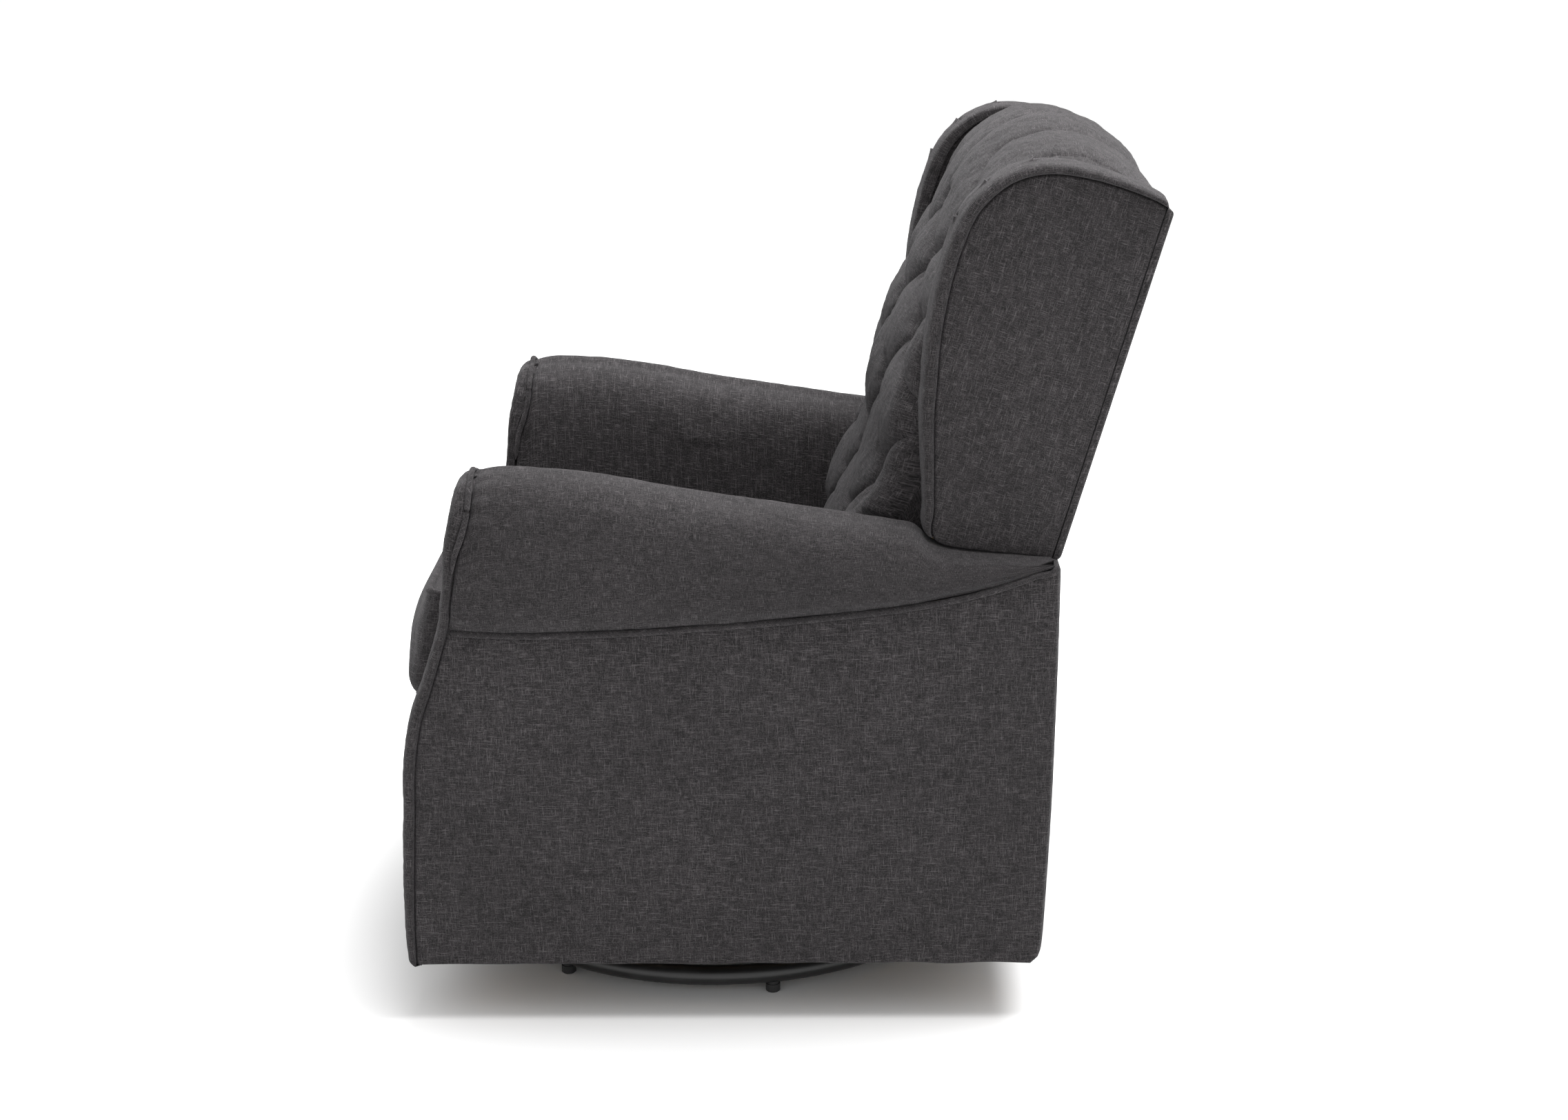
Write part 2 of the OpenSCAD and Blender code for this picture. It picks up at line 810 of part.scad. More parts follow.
// Soft roll over the arm's top, wedge shaped in side view and rounded across
arm_pad_outline = concat(
    reversed(seam_edge),
    behind(front_edge_high, gap),
    [[tip_y + gap, arm_front_z - 8]],
    [for (i = [1:len(arm_top_edge) - 1]) arm_top_edge[i]]
);

module arm_pad(side) {
    slope = atan2(arm_front_z - arm_dip[1], arm_dip[0] - tip_y);
    round_r = 42;
    pad_mid = (arm_in + arm_out + arm_bulge) / 2;
    pad_half = (arm_out + arm_bulge - arm_in) / 2;
    run = arm_rear[0] - arm_front_y + 80;
    difference() {
        intersection() {
            side_slab(side, arm_in, arm_out + arm_bulge, arm_pad_outline);
            translate([side * pad_mid, tip_y - 80, arm_front_z + 4 + 80 * tan(slope)])
                rotate([-90 - slope, 0, 0])
                    linear_extrude(run) union() {
                        translate([-pad_half, round_r])
                            square([2 * pad_half, 260]);
                        translate([-pad_half + round_r, 0])
                            square([2 * (pad_half - round_r), round_r + cut]);
                        for (s = [-1, 1])
                            translate([s * (pad_half - round_r), round_r])
                                circle(r = round_r);
                    }
        }
        // room for the top board and for the head of the plywood board under it
        side_slab(side, board_in - gap, arm_out - 22 + gap, [
            [top_board_y0 - gap, top_board_z(top_board_y0) - top_board_t - gap],
            [top_board_y1 + gap, top_board_z(top_board_y1) - top_board_t - gap],
            [top_board_y1 + gap, top_board_z(top_board_y1) + gap],
            [top_board_y0 - gap, top_board_z(top_board_y0) + gap]
        ]);
        side_slab(side, board_in - gap, board_out + gap, [
            [arm_front_y + 14 - gap, seam_front_z - 20],
            [body_rear_y - 24 + gap, seam_front_z - 20],
            [body_rear_y - 24 + gap, arm_rear[1] - 44 + gap],
            [top_board_y1 + gap, top_board_z(top_board_y1) - top_board_t + gap],
            [top_board_y0 + 4 - gap, top_board_z(top_board_y0 + 4) - top_board_t + gap],
            [arm_front_y + 60, seam_front_z + 30]
        ]);
    }
}

module arm_pad_left() {
    color("#525254") arm_pad(left);
}

module arm_pad_right() {
    color("#525254") arm_pad(right);
}

// Padded strip down the whole front of an arm, from its tip to the hem
facing_out = arm_out + 4;
facing_in = arm_in + 1;
module arm_facing(side) {
    n = len(front_edge) - 1;
    belly = [for (i = [0:n]) front_edge[i] - [facing_t * (0.55 + 0.45 * sin(180 * i / n)), 0]];
    side_slab(side, facing_in, facing_out, concat(
        front_edge,
        [[tip_y, arm_front_z], [tip_y - 9, arm_front_z + 1]],
        reversed(belly)
    ));
}

module arm_facing_left() {
    color("#5a5a5c") arm_facing(left);
}

module arm_facing_right() {
    color("#5a5a5c") arm_facing(right);
}

module front_panel() {
    panel_t = 13;
    top_z = seat_rail_z + deck_z + deck_t - 1;
    color("#4d4d4f") slab(-arm_in, arm_in, [
        [rail_front_y - panel_t, hem_z], [rail_front_y - gap, hem_z],
        [rail_front_y - gap, top_z], [rail_front_y - panel_t, top_z - 3]
    ]);
}

module rear_panel() {
    panel_t = 12;
    top_z = seam_z(body_rear_y - panel_t) - 7;
    color("#4a4a4c") slab(-arm_out, arm_out, [
        [body_rear_y - panel_t - 8, hem_z], [body_rear_y - 8, hem_z],
        [body_rear_y, top_z], [body_rear_y - panel_t, top_z]
    ]);
}

// ================= Back =================
// Upright that stands inside a side rail; its foot is cut square to the seat plane
module back_stile(side) {
    foot_drop = 56;
    top_v = top_rail_v + back_rail_h;
    difference() {
        in_back()
            side_slab(side, stile_in, stile_out, [
                [-stile_u - stile_depth, -460], [-stile_u, -460],
                [-stile_u, top_v], [-stile_u - stile_depth, top_v]
            ]);
        in_seat()
            translate([-arm_out, -cut, -400 - foot_drop])
                cube([2 * arm_out, 2 * seat_frame_len, 400]);
    }
}

module back_stile_left() {
    color("#c7a26a") back_stile(left);
}

module back_stile_right() {
    color("#c7a26a") back_stile(right);
}

module back_rail(half_w, v) {
    in_back()
        translate([-half_w, -stile_u, v])
            cube([2 * half_w, timber_t, back_rail_h]);
}

module back_top_rail() {
    color("#bd9760") back_rail(wing_board_in, top_rail_v);
}

module back_mid_rail() {
    color("#bd9760") back_rail(wing_board_in, mid_rail_v);
}

module back_bottom_rail() {
    color("#bd9760") back_rail(arm_in - 1, bottom_rail_v);
}

// Elastic bands across the front of the stiles
module back_webbing() {
    band_h = 50;
    band_pitch = 86;
    color("#30302e") in_back()
        for (i = [0:5])
            translate([-stile_out, -stile_u - stile_depth - web_t, -140 + i * band_pitch])
                cube([2 * stile_out, web_t, band_h]);
}

// Deep pad between the wings, narrower where it drops between the arms, arched over its top
module back_pad() {
    top_v = back_len + crown_rise;
    pad_outline = concat(
        [[-pad_rear_u, -195], [-pad_rear_u, top_v - 66], [-outside_back_t - gap, top_v - 66]],
        smooth([
            [-outside_back_t - gap, top_v - 33], [-30, top_v - 12], [-90, top_v - 1], [-140, top_v - 3],
            [-178, top_v - 12], [-206, top_v - 40]
        ], 3),
        smooth([
            [-back_pad_d + 26, top_v - 104], [-back_pad_d + 13, top_v - 184], [-back_pad_d + 1, 180],
            [-back_pad_d, 110], [-back_pad_d + 6, 55], [-back_pad_d + 13, 5], [-back_pad_d + 10, -60],
            [-back_pad_d + 3, -130], [-back_pad_d + 8, -186], [-back_pad_d + 22, -195]
        ], 3)
    );
    side_v = top_v - 30;
    wide = wing_in - gap;
    narrow = arm_in - gap;
    face = concat(
        [[-narrow, -200], [narrow, -200], [narrow, 4], [wide, 12]],
        smooth([
            [wide, side_v], [wide * 0.55, top_v - 8], [0, top_v + 1],
            [-wide * 0.55, top_v - 8], [-wide, side_v]
        ], 4),
        [[-wide, 12], [-narrow, 4]]
    );
    color("#58585a") in_back()
        intersection() {
            slab(-wide, wide, pad_outline);
            rotate([90, 0, 0])
                linear_extrude(back_pad_d + cut)
                    polygon(face);
        }
}

function wing_board_outline(grow) = [
    [-back_rail_u + grow, 12 - grow], [-150 - grow, 12 - grow], [-190 - grow, 150], [-203 - grow, 270],
    [-190 - grow, 345], [-150 - grow, 390 + grow], [-100, 400 + grow], [-back_rail_u + grow, 396 + grow]
];

module wing_board(side) {
    in_back()
        side_slab(side, wing_board_in, wing_board_in + wing_board_t, wing_board_outline(0));
}

module wing_board_left() {
    color("#d2b280") wing_board(left);
}

module wing_board_right() {
    color("#d2b280") wing_board(right);
}

// Padded wing around its plywood board, with openings for the two long rails
module wing_pad(side) {
    in_back() difference() {
        side_slab(side, wing_in, wing_out, wing_outline);
        side_slab(side, wing_board_in - gap, wing_board_in + wing_board_t + gap, wing_board_outline(gap));
        for (v = [top_rail_v, mid_rail_v])
            side_slab(side, wing_in - cut, wing_board_in, [
                [-stile_u - gap, v - gap], [-back_rail_u + gap, v - gap],
                [-back_rail_u + gap, v + back_rail_h + gap], [-stile_u - gap, v + back_rail_h + gap]
            ]);
    }
}

module wing_pad_left() {
    color("#505052") wing_pad(left);
}

module wing_pad_right() {
    color("#505052") wing_pad(right);
}

module outside_back_panel() {
    color("#464648") in_back()
        translate([-wing_out, -outside_back_t, 0])
            cube([2 * wing_out, outside_back_t, back_len]);
}

base_ring();
base_bars();
foot_glides();
turntable_lower_plate();
base_bolts();
turntable_upper_plate();
bearing_balls();
kingpin();
spreader_front();
spreader_rear();
hangers();
upper_pivot_pins();
swivel_bolts();
front_link_left();
front_link_right();
front_link_bushes();
rear_link_left();
rear_link_right();
rear_link_bushes();
seat_bracket_left();
seat_bracket_right();
lower_pivot_pins();
bracket_bolts();
side_rail_left();
side_rail_right();
front_rail();
rear_rail();
corner_blocks();
seat_springs();
spring_clips();
seat_deck();
seat_cushion();
dust_cover();
side_board_left();
side_board_right();
arm_posts();
arm_top_board_left();
arm_top_board_right();
inside_arm_left();
inside_arm_right();
side_panel_left();
side_panel_right();
arm_pad_left();
arm_pad_right();
arm_facing_left();
arm_facing_right();
front_panel();
rear_panel();
back_stile_left();
back_stile_right();
back_top_rail();
back_mid_rail();
back_bottom_rail();
back_webbing();
back_pad();
wing_board_left();
wing_board_right();
wing_pad_left();
wing_pad_right();
outside_back_panel();
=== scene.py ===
import json
import math

import bmesh
import bpy
import numpy as np
from mathutils import Matrix, Vector
from mathutils.bvhtree import BVHTree


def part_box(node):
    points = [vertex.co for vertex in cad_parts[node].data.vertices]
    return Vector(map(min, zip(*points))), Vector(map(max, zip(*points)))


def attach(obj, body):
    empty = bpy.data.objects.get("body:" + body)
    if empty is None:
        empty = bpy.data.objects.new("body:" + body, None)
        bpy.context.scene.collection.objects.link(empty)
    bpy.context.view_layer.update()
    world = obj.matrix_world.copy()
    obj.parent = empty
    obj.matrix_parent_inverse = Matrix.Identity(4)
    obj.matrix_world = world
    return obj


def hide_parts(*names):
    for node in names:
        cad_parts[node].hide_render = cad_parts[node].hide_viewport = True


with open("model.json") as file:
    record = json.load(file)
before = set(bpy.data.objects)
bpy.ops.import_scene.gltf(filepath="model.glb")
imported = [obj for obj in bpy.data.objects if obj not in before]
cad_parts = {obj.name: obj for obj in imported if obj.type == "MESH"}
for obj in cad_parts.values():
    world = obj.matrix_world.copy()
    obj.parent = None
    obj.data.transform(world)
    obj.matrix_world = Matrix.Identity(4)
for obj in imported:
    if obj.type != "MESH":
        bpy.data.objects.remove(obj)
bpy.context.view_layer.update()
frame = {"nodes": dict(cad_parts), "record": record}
mm = 0.001
left, right = 1, -1
sideNames = {left: "left", right: "right"}
print("frame loaded:", len(frame["nodes"]), "nodes")


# Curves and grids are worked out in millimetres, and turned into metres when a mesh is made
def corner(node, which):
    return [1000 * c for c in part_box(node)[which]]


def resample(line, places):
    line = np.asarray(line, float)
    run = np.concatenate([[0], np.cumsum(np.linalg.norm(np.diff(line, axis=0), axis=1))])
    at = np.asarray(places) * run[-1]
    return np.stack([np.interp(at, run, line[:, k]) for k in range(line.shape[1])], -1)


def smoothLine(points, places=None):
    p = np.array(points, float)
    q = np.vstack([2 * p[0] - p[1], p, 2 * p[-1] - p[-2]])
    t = np.linspace(0, 1, 24, endpoint=False)[:, None]
    spans = []
    for i in range(len(p) - 1):
        a, b, c, d = q[i:i + 4]
        spans.append(0.5 * (2 * b + (c - a) * t + (2 * a - 5 * b + 4 * c - d) * t ** 2
                            + (3 * b - a - 3 * c + d) * t ** 3))
    line = np.vstack(spans + [p[-1:]])
    return line if places is None else resample(line, places)


def lineLength(line):
    return float(np.linalg.norm(np.diff(line, axis=0), axis=1).sum())


def crowded(count):  # places from 0 to 1, closer together near both ends
    return 0.5 - 0.5 * np.cos(np.linspace(0, math.pi, count))


def ease(t):
    t = np.clip(t, 0, 1)
    return t * t * (3 - 2 * t)


def rounding(distance, width, depth=None):  # 0 away from an edge, its full depth at the edge itself
    fromEdge = np.clip(distance / width, 0, 1)
    return (width if depth is None else depth) * (1 - np.sqrt(np.maximum(1 - (1 - fromEdge) ** 2, 0)))


def ripple(a, b, size, seed, waves=9):  # smooth uneven surface between -1 and 1, size is its wavelength
    rng = np.random.RandomState(seed)
    total = 0
    for _ in range(waves):
        angle, phase = rng.uniform(0, 2 * math.pi, 2)
        stretch = rng.uniform(0.7, 1.5)
        along = a * math.cos(angle) + b * math.sin(angle)
        total = total + np.sin(along * 2 * math.pi * stretch / size + phase)
    return total / math.sqrt(waves * 2)


def edgeDistance(points, outline):
    flat = points.reshape(-1, 2)
    nearest = np.full(len(flat), 1e9)
    for start, end in zip(outline[:-1], outline[1:]):
        span = end - start
        t = np.clip(((flat - start) @ span) / max(span @ span, 1e-9), 0, 1)
        gapTo = flat - (start + t[:, None] * span)
        nearest = np.minimum(nearest, np.einsum("ij,ij->i", gapTo, gapTo))
    return np.sqrt(nearest).reshape(points.shape[:-1])


def meshPiece(name, points, faces, cloth=None, sharpAt=62):
    mesh = bpy.data.meshes.new(name)
    mesh.from_pydata((np.asarray(points) * mm).tolist(), [], [[int(i) for i in f] for f in faces])
    made = bmesh.new()
    made.from_mesh(mesh)
    bmesh.ops.recalc_face_normals(made, faces=made.faces)
    made.to_mesh(mesh)
    made.free()
    if cloth is not None:
        layer = mesh.attributes.new("weaveAt", "FLOAT_VECTOR", "POINT")
        layer.data.foreach_set("vector", (np.asarray(cloth, np.float32) * mm).ravel())
    mesh.shade_smooth()
    mesh.set_sharp_from_angle(angle=math.radians(sharpAt))
    piece = bpy.data.objects.new(name, mesh)
    bpy.context.collection.objects.link(piece)
    return piece


def gridFaces(index):
    return np.stack([index[:-1, :-1], index[1:, :-1], index[1:, 1:], index[:-1, 1:]], -1).reshape(-1, 4)


def withSeed(cloth, name):
    seed = sum(ord(c) * (i + 3) for i, c in enumerate(name)) % 97
    return np.concatenate([cloth, np.full(cloth.shape[:-1] + (1,), 40.0 * seed)], -1)


# A closed solid between an outer and an inner grid of the same layout
def paddedSolid(name, outer, inner, cloth):
    rows, cols = outer.shape[:2]
    index = np.arange(rows * cols).reshape(rows, cols)
    rim = np.concatenate([index[0, :], index[1:, -1], index[-1, -2::-1], index[-2:0:-1, 0]])
    nextRim = np.roll(rim, -1)
    side = np.stack([rim, rim + rows * cols, nextRim + rows * cols, nextRim], -1)
    faces = np.vstack([gridFaces(index), gridFaces(index)[:, ::-1] + rows * cols, side])
    wall = 0.7 * np.linalg.norm(outer - inner, axis=-1)[..., None]     # lets the weave run on round the edge
    cloth, turned = withSeed(cloth, name), withSeed(cloth + wall, name)
    points = np.vstack([outer.reshape(-1, 3), inner.reshape(-1, 3)])
    return meshPiece(name, points, faces, np.vstack([cloth.reshape(-1, 3), turned.reshape(-1, 3)]))


# A closed tube through rings of points, its two ends drawn together
def ringSolid(name, rings, cloth):
    rows, cols = rings.shape[:2]
    index = np.arange(rows * cols).reshape(rows, cols)
    index = np.concatenate([index, index[:, :1]], 1)
    faces = [list(f) for f in gridFaces(index)]
    faces.append(list(index[0, :-1]))
    faces.append(list(index[-1, :-1][::-1]))
    return meshPiece(name, rings.reshape(-1, 3), faces, withSeed(cloth, name).reshape(-1, 3))


def welt(name, path, radius, sides=12, taper=6):
    places = np.linspace(0, 1, max(12, int(lineLength(path) / 4)))
    line = resample(path, places)
    run = places * lineLength(path)
    along = np.gradient(line, axis=0)
    along /= np.linalg.norm(along, axis=1)[:, None]
    up = np.where(np.abs(along[:, 2:]) > 0.9, [0.0, 1.0, 0.0], [0.0, 0.0, 1.0])
    first = np.cross(along, up)
    first /= np.linalg.norm(first, axis=1)[:, None]
    second = np.cross(along, first)
    turn = np.linspace(0, 2 * math.pi, sides, endpoint=False)
    size = radius * (1 + 0.05 * ripple(run, run * 0, 38, len(name)))
    fromEnd = np.minimum(run, run[-1] - run)
    size = size * np.sqrt(np.clip(1 - (1 - np.clip(fromEnd / taper, 0, 1)) ** 2, 0.02, 1))
    rings = line[:, None] + size[:, None, None] * (
        np.cos(turn)[None, :, None] * first[:, None] + np.sin(turn)[None, :, None] * second[:, None])
    bias = 0.7     # the welt's cloth is cut at 45 degrees
    arc = radius * turn[None]
    cloth = np.stack([bias * (run[:, None] + arc), bias * (run[:, None] - arc)], -1)
    return ringSolid(name, rings, cloth)


class Value:  # a number, colour or vector somewhere in a finish
    def __init__(self, finish, socket):
        self.finish, self.socket = finish, socket

    def maths(self, operation, first, second):
        return self.finish.node("Math", {"operation": operation}, {0: first, 1: second})

    def __add__(self, other):
        return self.maths("ADD", self, other)

    def __radd__(self, other):
        return self.maths("ADD", other, self)

    def __sub__(self, other):
        return self.maths("SUBTRACT", self, other)

    def __rsub__(self, other):
        return self.maths("SUBTRACT", other, self)

    def __mul__(self, other):
        return self.maths("MULTIPLY", self, other)

    def __rmul__(self, other):
        return self.maths("MULTIPLY", other, self)


class Finish:
    def __init__(self, name, slot):
        self.material = bpy.data.materials.new(name)
        self.material.use_nodes = True
        self.tree = self.material.node_tree
        self.tree.nodes.clear()
        self.slot = slot

    def node(self, kind, settings=None, sockets=None, output=0):
        made = self.tree.nodes.new("ShaderNode" + kind)
        for key, value in (settings or {}).items():
            setattr(made, key, value)
        for key, value in (sockets or {}).items():
            if isinstance(value, Value):
                self.tree.links.new(value.socket, made.inputs[key])
            else:
                made.inputs[key].default_value = value
        return None if output is None else Value(self, made.outputs[output])

    def mixed(self, share, first, second, kind="MIX"):
        first, second = [c if isinstance(c, Value) else (*c, 1) for c in (first, second)]
        settings = {"data_type": "RGBA", "blend_type": kind}
        return self.node("Mix", settings, {0: share, 6: first, 7: second}, 2)

    def noise(self, at, scale, detail=2.0, roughness=0.5):
        return self.node("TexNoise", None,
                         {"Vector": at, "Scale": scale, "Detail": detail, "Roughness": roughness})

    def ramp(self, value, low, high):
        return self.node("MapRange", {"interpolation_type": "SMOOTHSTEP"}, {0: value, 1: low, 2: high})

    def scaled(self, at, factors):
        return self.node("VectorMath", {"operation": "MULTIPLY"}, {0: at, 1: factors})

    def surface(self, sockets, height=None, strength=0.3, depth=0.001):
        if height is not None:
            bump = {"Strength": strength, "Distance": depth, "Height": height}
            sockets["Normal"] = self.node("Bump", None, bump)
        shader = self.node("BsdfPrincipled", None, sockets)
        self.node("OutputMaterial", None, {"Surface": shader}, None)
        return self.material

    def wave(self, value):
        return self.node("Math", {"operation": "SINE"}, {0: value})

    def axis(self, at, which):
        return self.node("SeparateXYZ", None, {0: at}, which)


linenLook = {
    "shade": (0.0040, 0.0036, 0.0038),
    "yarn": (0.0375, 0.0339, 0.0352),
    "slub": (0.128, 0.118, 0.121),
    "warpSlubs": 0.52,
    "weftSlubs": 0.58,
    "roughness": 0.93,
    "sheen": 0.07,
    "threadSpacing": 0.00115,
}


def linen(name, look):
    f = Finish(name, "upholstery_cloth")
    at = f.node("Attribute", {"attribute_name": "weaveAt"}, None, 1)
    warpStreaks = f.noise(f.scaled(at, (1500.0, 80.0, 9.0)), 1.0, 2.0, 0.6)
    weftStreaks = f.noise(f.scaled(at, (80.0, 1500.0, 7.0)), 1.0, 2.0, 0.6)
    heather = f.noise(f.scaled(at, (780.0, 780.0, 5.0)), 1.0, 3.0, 0.75)
    clouds = f.noise(f.scaled(at, (60.0, 60.0, 3.0)), 1.0, 2.0, 0.6)
    broad = f.noise(f.scaled(at, (5.0, 5.0, 2.0)), 1.0, 2.0, 0.5)
    warp = f.ramp(warpStreaks, 0.53, 0.74)
    weft = f.ramp(weftStreaks, 0.53, 0.74)
    darkWarp = f.ramp(warpStreaks, 0.47, 0.30)
    darkWeft = f.ramp(weftStreaks, 0.47, 0.30)
    tone = f.mixed(f.ramp(heather * 0.85 + clouds * 0.15, 0.38, 0.62), look["shade"], look["yarn"])
    tone = f.mixed(warp * look["warpSlubs"], tone, look["slub"])
    tone = f.mixed(weft * look["weftSlubs"], tone, look["slub"])
    tone = f.mixed((darkWarp + darkWeft) * 0.28, tone, look["shade"])
    fade = {0: broad * 0.5 + 0.76, 1: broad * 0.5 + 0.755, 2: broad * 0.5 + 0.765}
    tone = f.mixed(1.0, tone, f.node("CombineColor", None, fade), "MULTIPLY")
    turns = 2 * math.pi / look["threadSpacing"]
    overUnder = f.wave(f.axis(at, 0) * turns) * f.wave(f.axis(at, 1) * turns)
    relief = overUnder * 0.3 + warpStreaks * 0.9 + weftStreaks * 0.9 + heather * 0.8
    return f.surface({"Base Color": tone, "Roughness": look["roughness"] + (heather - 0.5) * 0.1,
                      "Sheen Weight": look["sheen"], "Sheen Roughness": 0.45,
                      "Sheen Tint": (0.85, 0.85, 0.88, 1.0), "Specular IOR Level": 0.25},
                     relief, 0.55, 0.0012)


def paintedSteel(name, colour, slot):
    f = Finish(name, slot)
    at = f.node("TexCoord", None, None, 3)
    peel = f.noise(at, 520.0, 2.0, 0.5)
    dust = f.noise(at, 34.0, 4.0, 0.6)
    scuff = f.ramp(f.noise(f.scaled(at, (260.0, 60.0, 260.0)), 1.0, 3.0, 0.6), 0.66, 0.74)
    tone = f.mixed(f.ramp(dust, 0.45, 0.75) * 0.35, colour, tuple(c * 2.6 + 0.01 for c in colour))
    tone = f.mixed(scuff * 0.3, tone, (0.09, 0.09, 0.09))
    return f.surface({"Base Color": tone, "Roughness": 0.33 + dust * 0.16 + scuff * 0.15,
                      "Coat Weight": 0.25, "Coat Roughness": 0.25, "Specular IOR Level": 0.5},
                     peel, 0.12, 0.0004)


def bareMetal(name, colour, slot, roughness=0.34, brush=(9.0, 420.0, 420.0)):
    f = Finish(name, slot)
    at = f.node("TexCoord", None, None, 3)
    lines = f.noise(f.scaled(at, brush), 1.0, 3.0, 0.6)
    stain = f.noise(at, 42.0, 4.0, 0.6)
    tone = f.mixed(f.ramp(stain, 0.4, 0.75) * 0.5, colour, tuple(c * 0.62 for c in colour))
    worn = roughness + lines * 0.14 + stain * 0.08
    return f.surface({"Base Color": tone, "Metallic": 1.0, "Roughness": worn}, lines, 0.15, 0.0003)


def timber(name, early, late, slot, ringsAcross=95.0, layered=False):
    f = Finish(name, slot)
    at = f.node("TexCoord", None, None, 3)
    warp = f.noise(f.scaled(at, (14.0, 2.2, 14.0)), 1.0, 3.0, 0.6)
    across, height = f.axis(at, 0), f.axis(at, 2)
    if layered:
        plySpacing = 0.0036
        bands = f.wave(across * (2 * math.pi / plySpacing)) * 0.5 + 0.5
    else:
        bands = f.wave((across + height) * ringsAcross * 4 + warp * 16.0) * 0.5 + 0.5
    pores = f.noise(f.scaled(at, (900.0, 42.0, 900.0)), 1.0, 2.0, 0.5)
    tone = f.mixed(bands * 0.7 + warp * 0.3, early, late)
    tone = f.mixed(f.ramp(pores, 0.58, 0.75) * 0.55, tone, tuple(c * 0.35 for c in late))
    return f.surface({"Base Color": tone, "Roughness": 0.62 + pores * 0.2, "Specular IOR Level": 0.3},
                     pores, 0.25, 0.0004)


def plainCloth(name, colour, slot, spacing=0.0022):
    f = Finish(name, slot)
    at = f.node("TexCoord", None, None, 3)
    turns = 2 * math.pi / spacing
    knit = f.wave(f.axis(at, 0) * turns) * f.wave(f.axis(at, 1) * turns)
    fuzz = f.noise(at, 700.0, 3.0, 0.7)
    patches = f.noise(at, 16.0, 2.0, 0.5)
    lighter = f.ramp(fuzz * 0.6 + knit * 0.1 + patches * 0.3, 0.3, 0.62)
    tone = f.mixed(lighter, tuple(c * 0.55 for c in colour), colour)
    return f.surface({"Base Color": tone, "Roughness": 0.9 + (fuzz - 0.5) * 0.1, "Sheen Weight": 0.2,
                      "Specular IOR Level": 0.2}, knit * 0.4 + fuzz, 0.4, 0.0008)


def moulded(name, colour, slot, roughness):
    f = Finish(name, slot)
    at = f.node("TexCoord", None, None, 3)
    grain = f.noise(at, 1400.0, 2.0, 0.5)
    dirt = f.noise(at, 60.0, 4.0, 0.6)
    tone = f.mixed(f.ramp(dirt, 0.45, 0.8) * 0.5, colour, tuple(c * 0.7 + 0.012 for c in colour))
    return f.surface({"Base Color": tone, "Roughness": roughness + grain * 0.12 + dirt * 0.1},
                     grain, 0.15, 0.0002)


greyLinen = linen("greyLinen", linenLook)
finishes = {
    "base_black": paintedSteel("satinBlackSteel", (0.0065, 0.0065, 0.0068), "base_black"),
    "glide_rubber": moulded("glideRubber", (0.014, 0.014, 0.0145), "glide_rubber", 0.55),
    "zinc_plate": bareMetal("zincedPlate", (0.52, 0.53, 0.54), "zinc_plate", 0.36),
    "fastener_steel": bareMetal("fastenerSteel", (0.58, 0.58, 0.57), "fastener_steel", 0.28,
                                (240.0, 240.0, 240.0)),
    "ball_steel": bareMetal("ballSteel", (0.72, 0.73, 0.74), "ball_steel", 0.08, (90.0, 90.0, 90.0)),
    "bush_nylon": moulded("bushNylon", (0.74, 0.72, 0.64), "bush_nylon", 0.38),
    "spring_wire": bareMetal("springWire", (0.23, 0.23, 0.235), "spring_wire", 0.4,
                             (60.0, 300.0, 300.0)),
    "solid_timber": timber("railTimber", (0.50, 0.33, 0.17), (0.30, 0.17, 0.075), "solid_timber"),
    "plywood": timber("boardPlywood", (0.56, 0.40, 0.22), (0.36, 0.23, 0.11), "plywood", layered=True),
    "deck_felt": plainCloth("deckFelt", (0.20, 0.185, 0.165), "deck_felt", 0.004),
    "dust_cloth": plainCloth("dustCloth", (0.020, 0.020, 0.021), "dust_cloth", 0.0016),
    "elastic_webbing": plainCloth("elasticWebbing", (0.055, 0.055, 0.057), "elastic_webbing", 0.003),
}
slotOf = {s["node"]: s["material_slot"] for s in frame["record"]["subparts"]}
for nodeName, nodeObject in frame["nodes"].items():
    nodeObject.data.materials.clear()
    nodeObject.data.materials.append(finishes.get(slotOf.get(nodeName), greyLinen))
print("finishes made")


def dress(piece, *nodes, fill=0.6):
    piece.data.materials.append(greyLinen)
    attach(piece, "seat")
    if nodes:
        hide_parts(*nodes)
    return piece


railFront = corner("front_rail", 0)[1]
railTop = corner("front_rail", 1)[2]
hem = corner("side_panel_left", 0)[2]
armOut = corner("side_panel_left", 1)[0]
armIn = corner("inside_arm_left", 0)[0]
armFront = railFront - 14      # the foot of the groove down the arm's front
seamStart = corner("arm_pad_left", 0)[2]
rake = math.radians(16.6)      # the back leans back
pitch = math.radians(6)        # the seat falls towards the back
backFoot = corner("outside_back_panel", 0)[2]
backThick = 8        # of the outside back panel
backY = corner("outside_back_panel", 0)[1] + backThick * math.cos(rake)
backLength = (corner("outside_back_panel", 1)[2] - backFoot - backThick * math.sin(rake)) / math.cos(rake)
wingOut = corner("wing_pad_left", 1)[0]
wingIn = corner("wing_pad_left", 0)[0]
padWide = corner("back_pad", 1)[0]
padNarrow = armIn - 1


def onBack(x, u, v):  # u is forward from the outside back, v is up its rake
    x, u, v = np.broadcast_arrays(x, u, v)
    y = backY - u * math.cos(rake) + v * math.sin(rake)
    z = backFoot + u * math.sin(rake) + v * math.cos(rake)
    return np.stack([x, y, z], -1)


def onSeat(x, y, z):  # y runs back along the seat plane, z stands off the rails
    x, y, z = np.broadcast_arrays(x, y, z)
    return np.stack([x, railFront + y * math.cos(pitch) + z * math.sin(pitch),
                     railTop - y * math.sin(pitch) + z * math.cos(pitch)], -1)


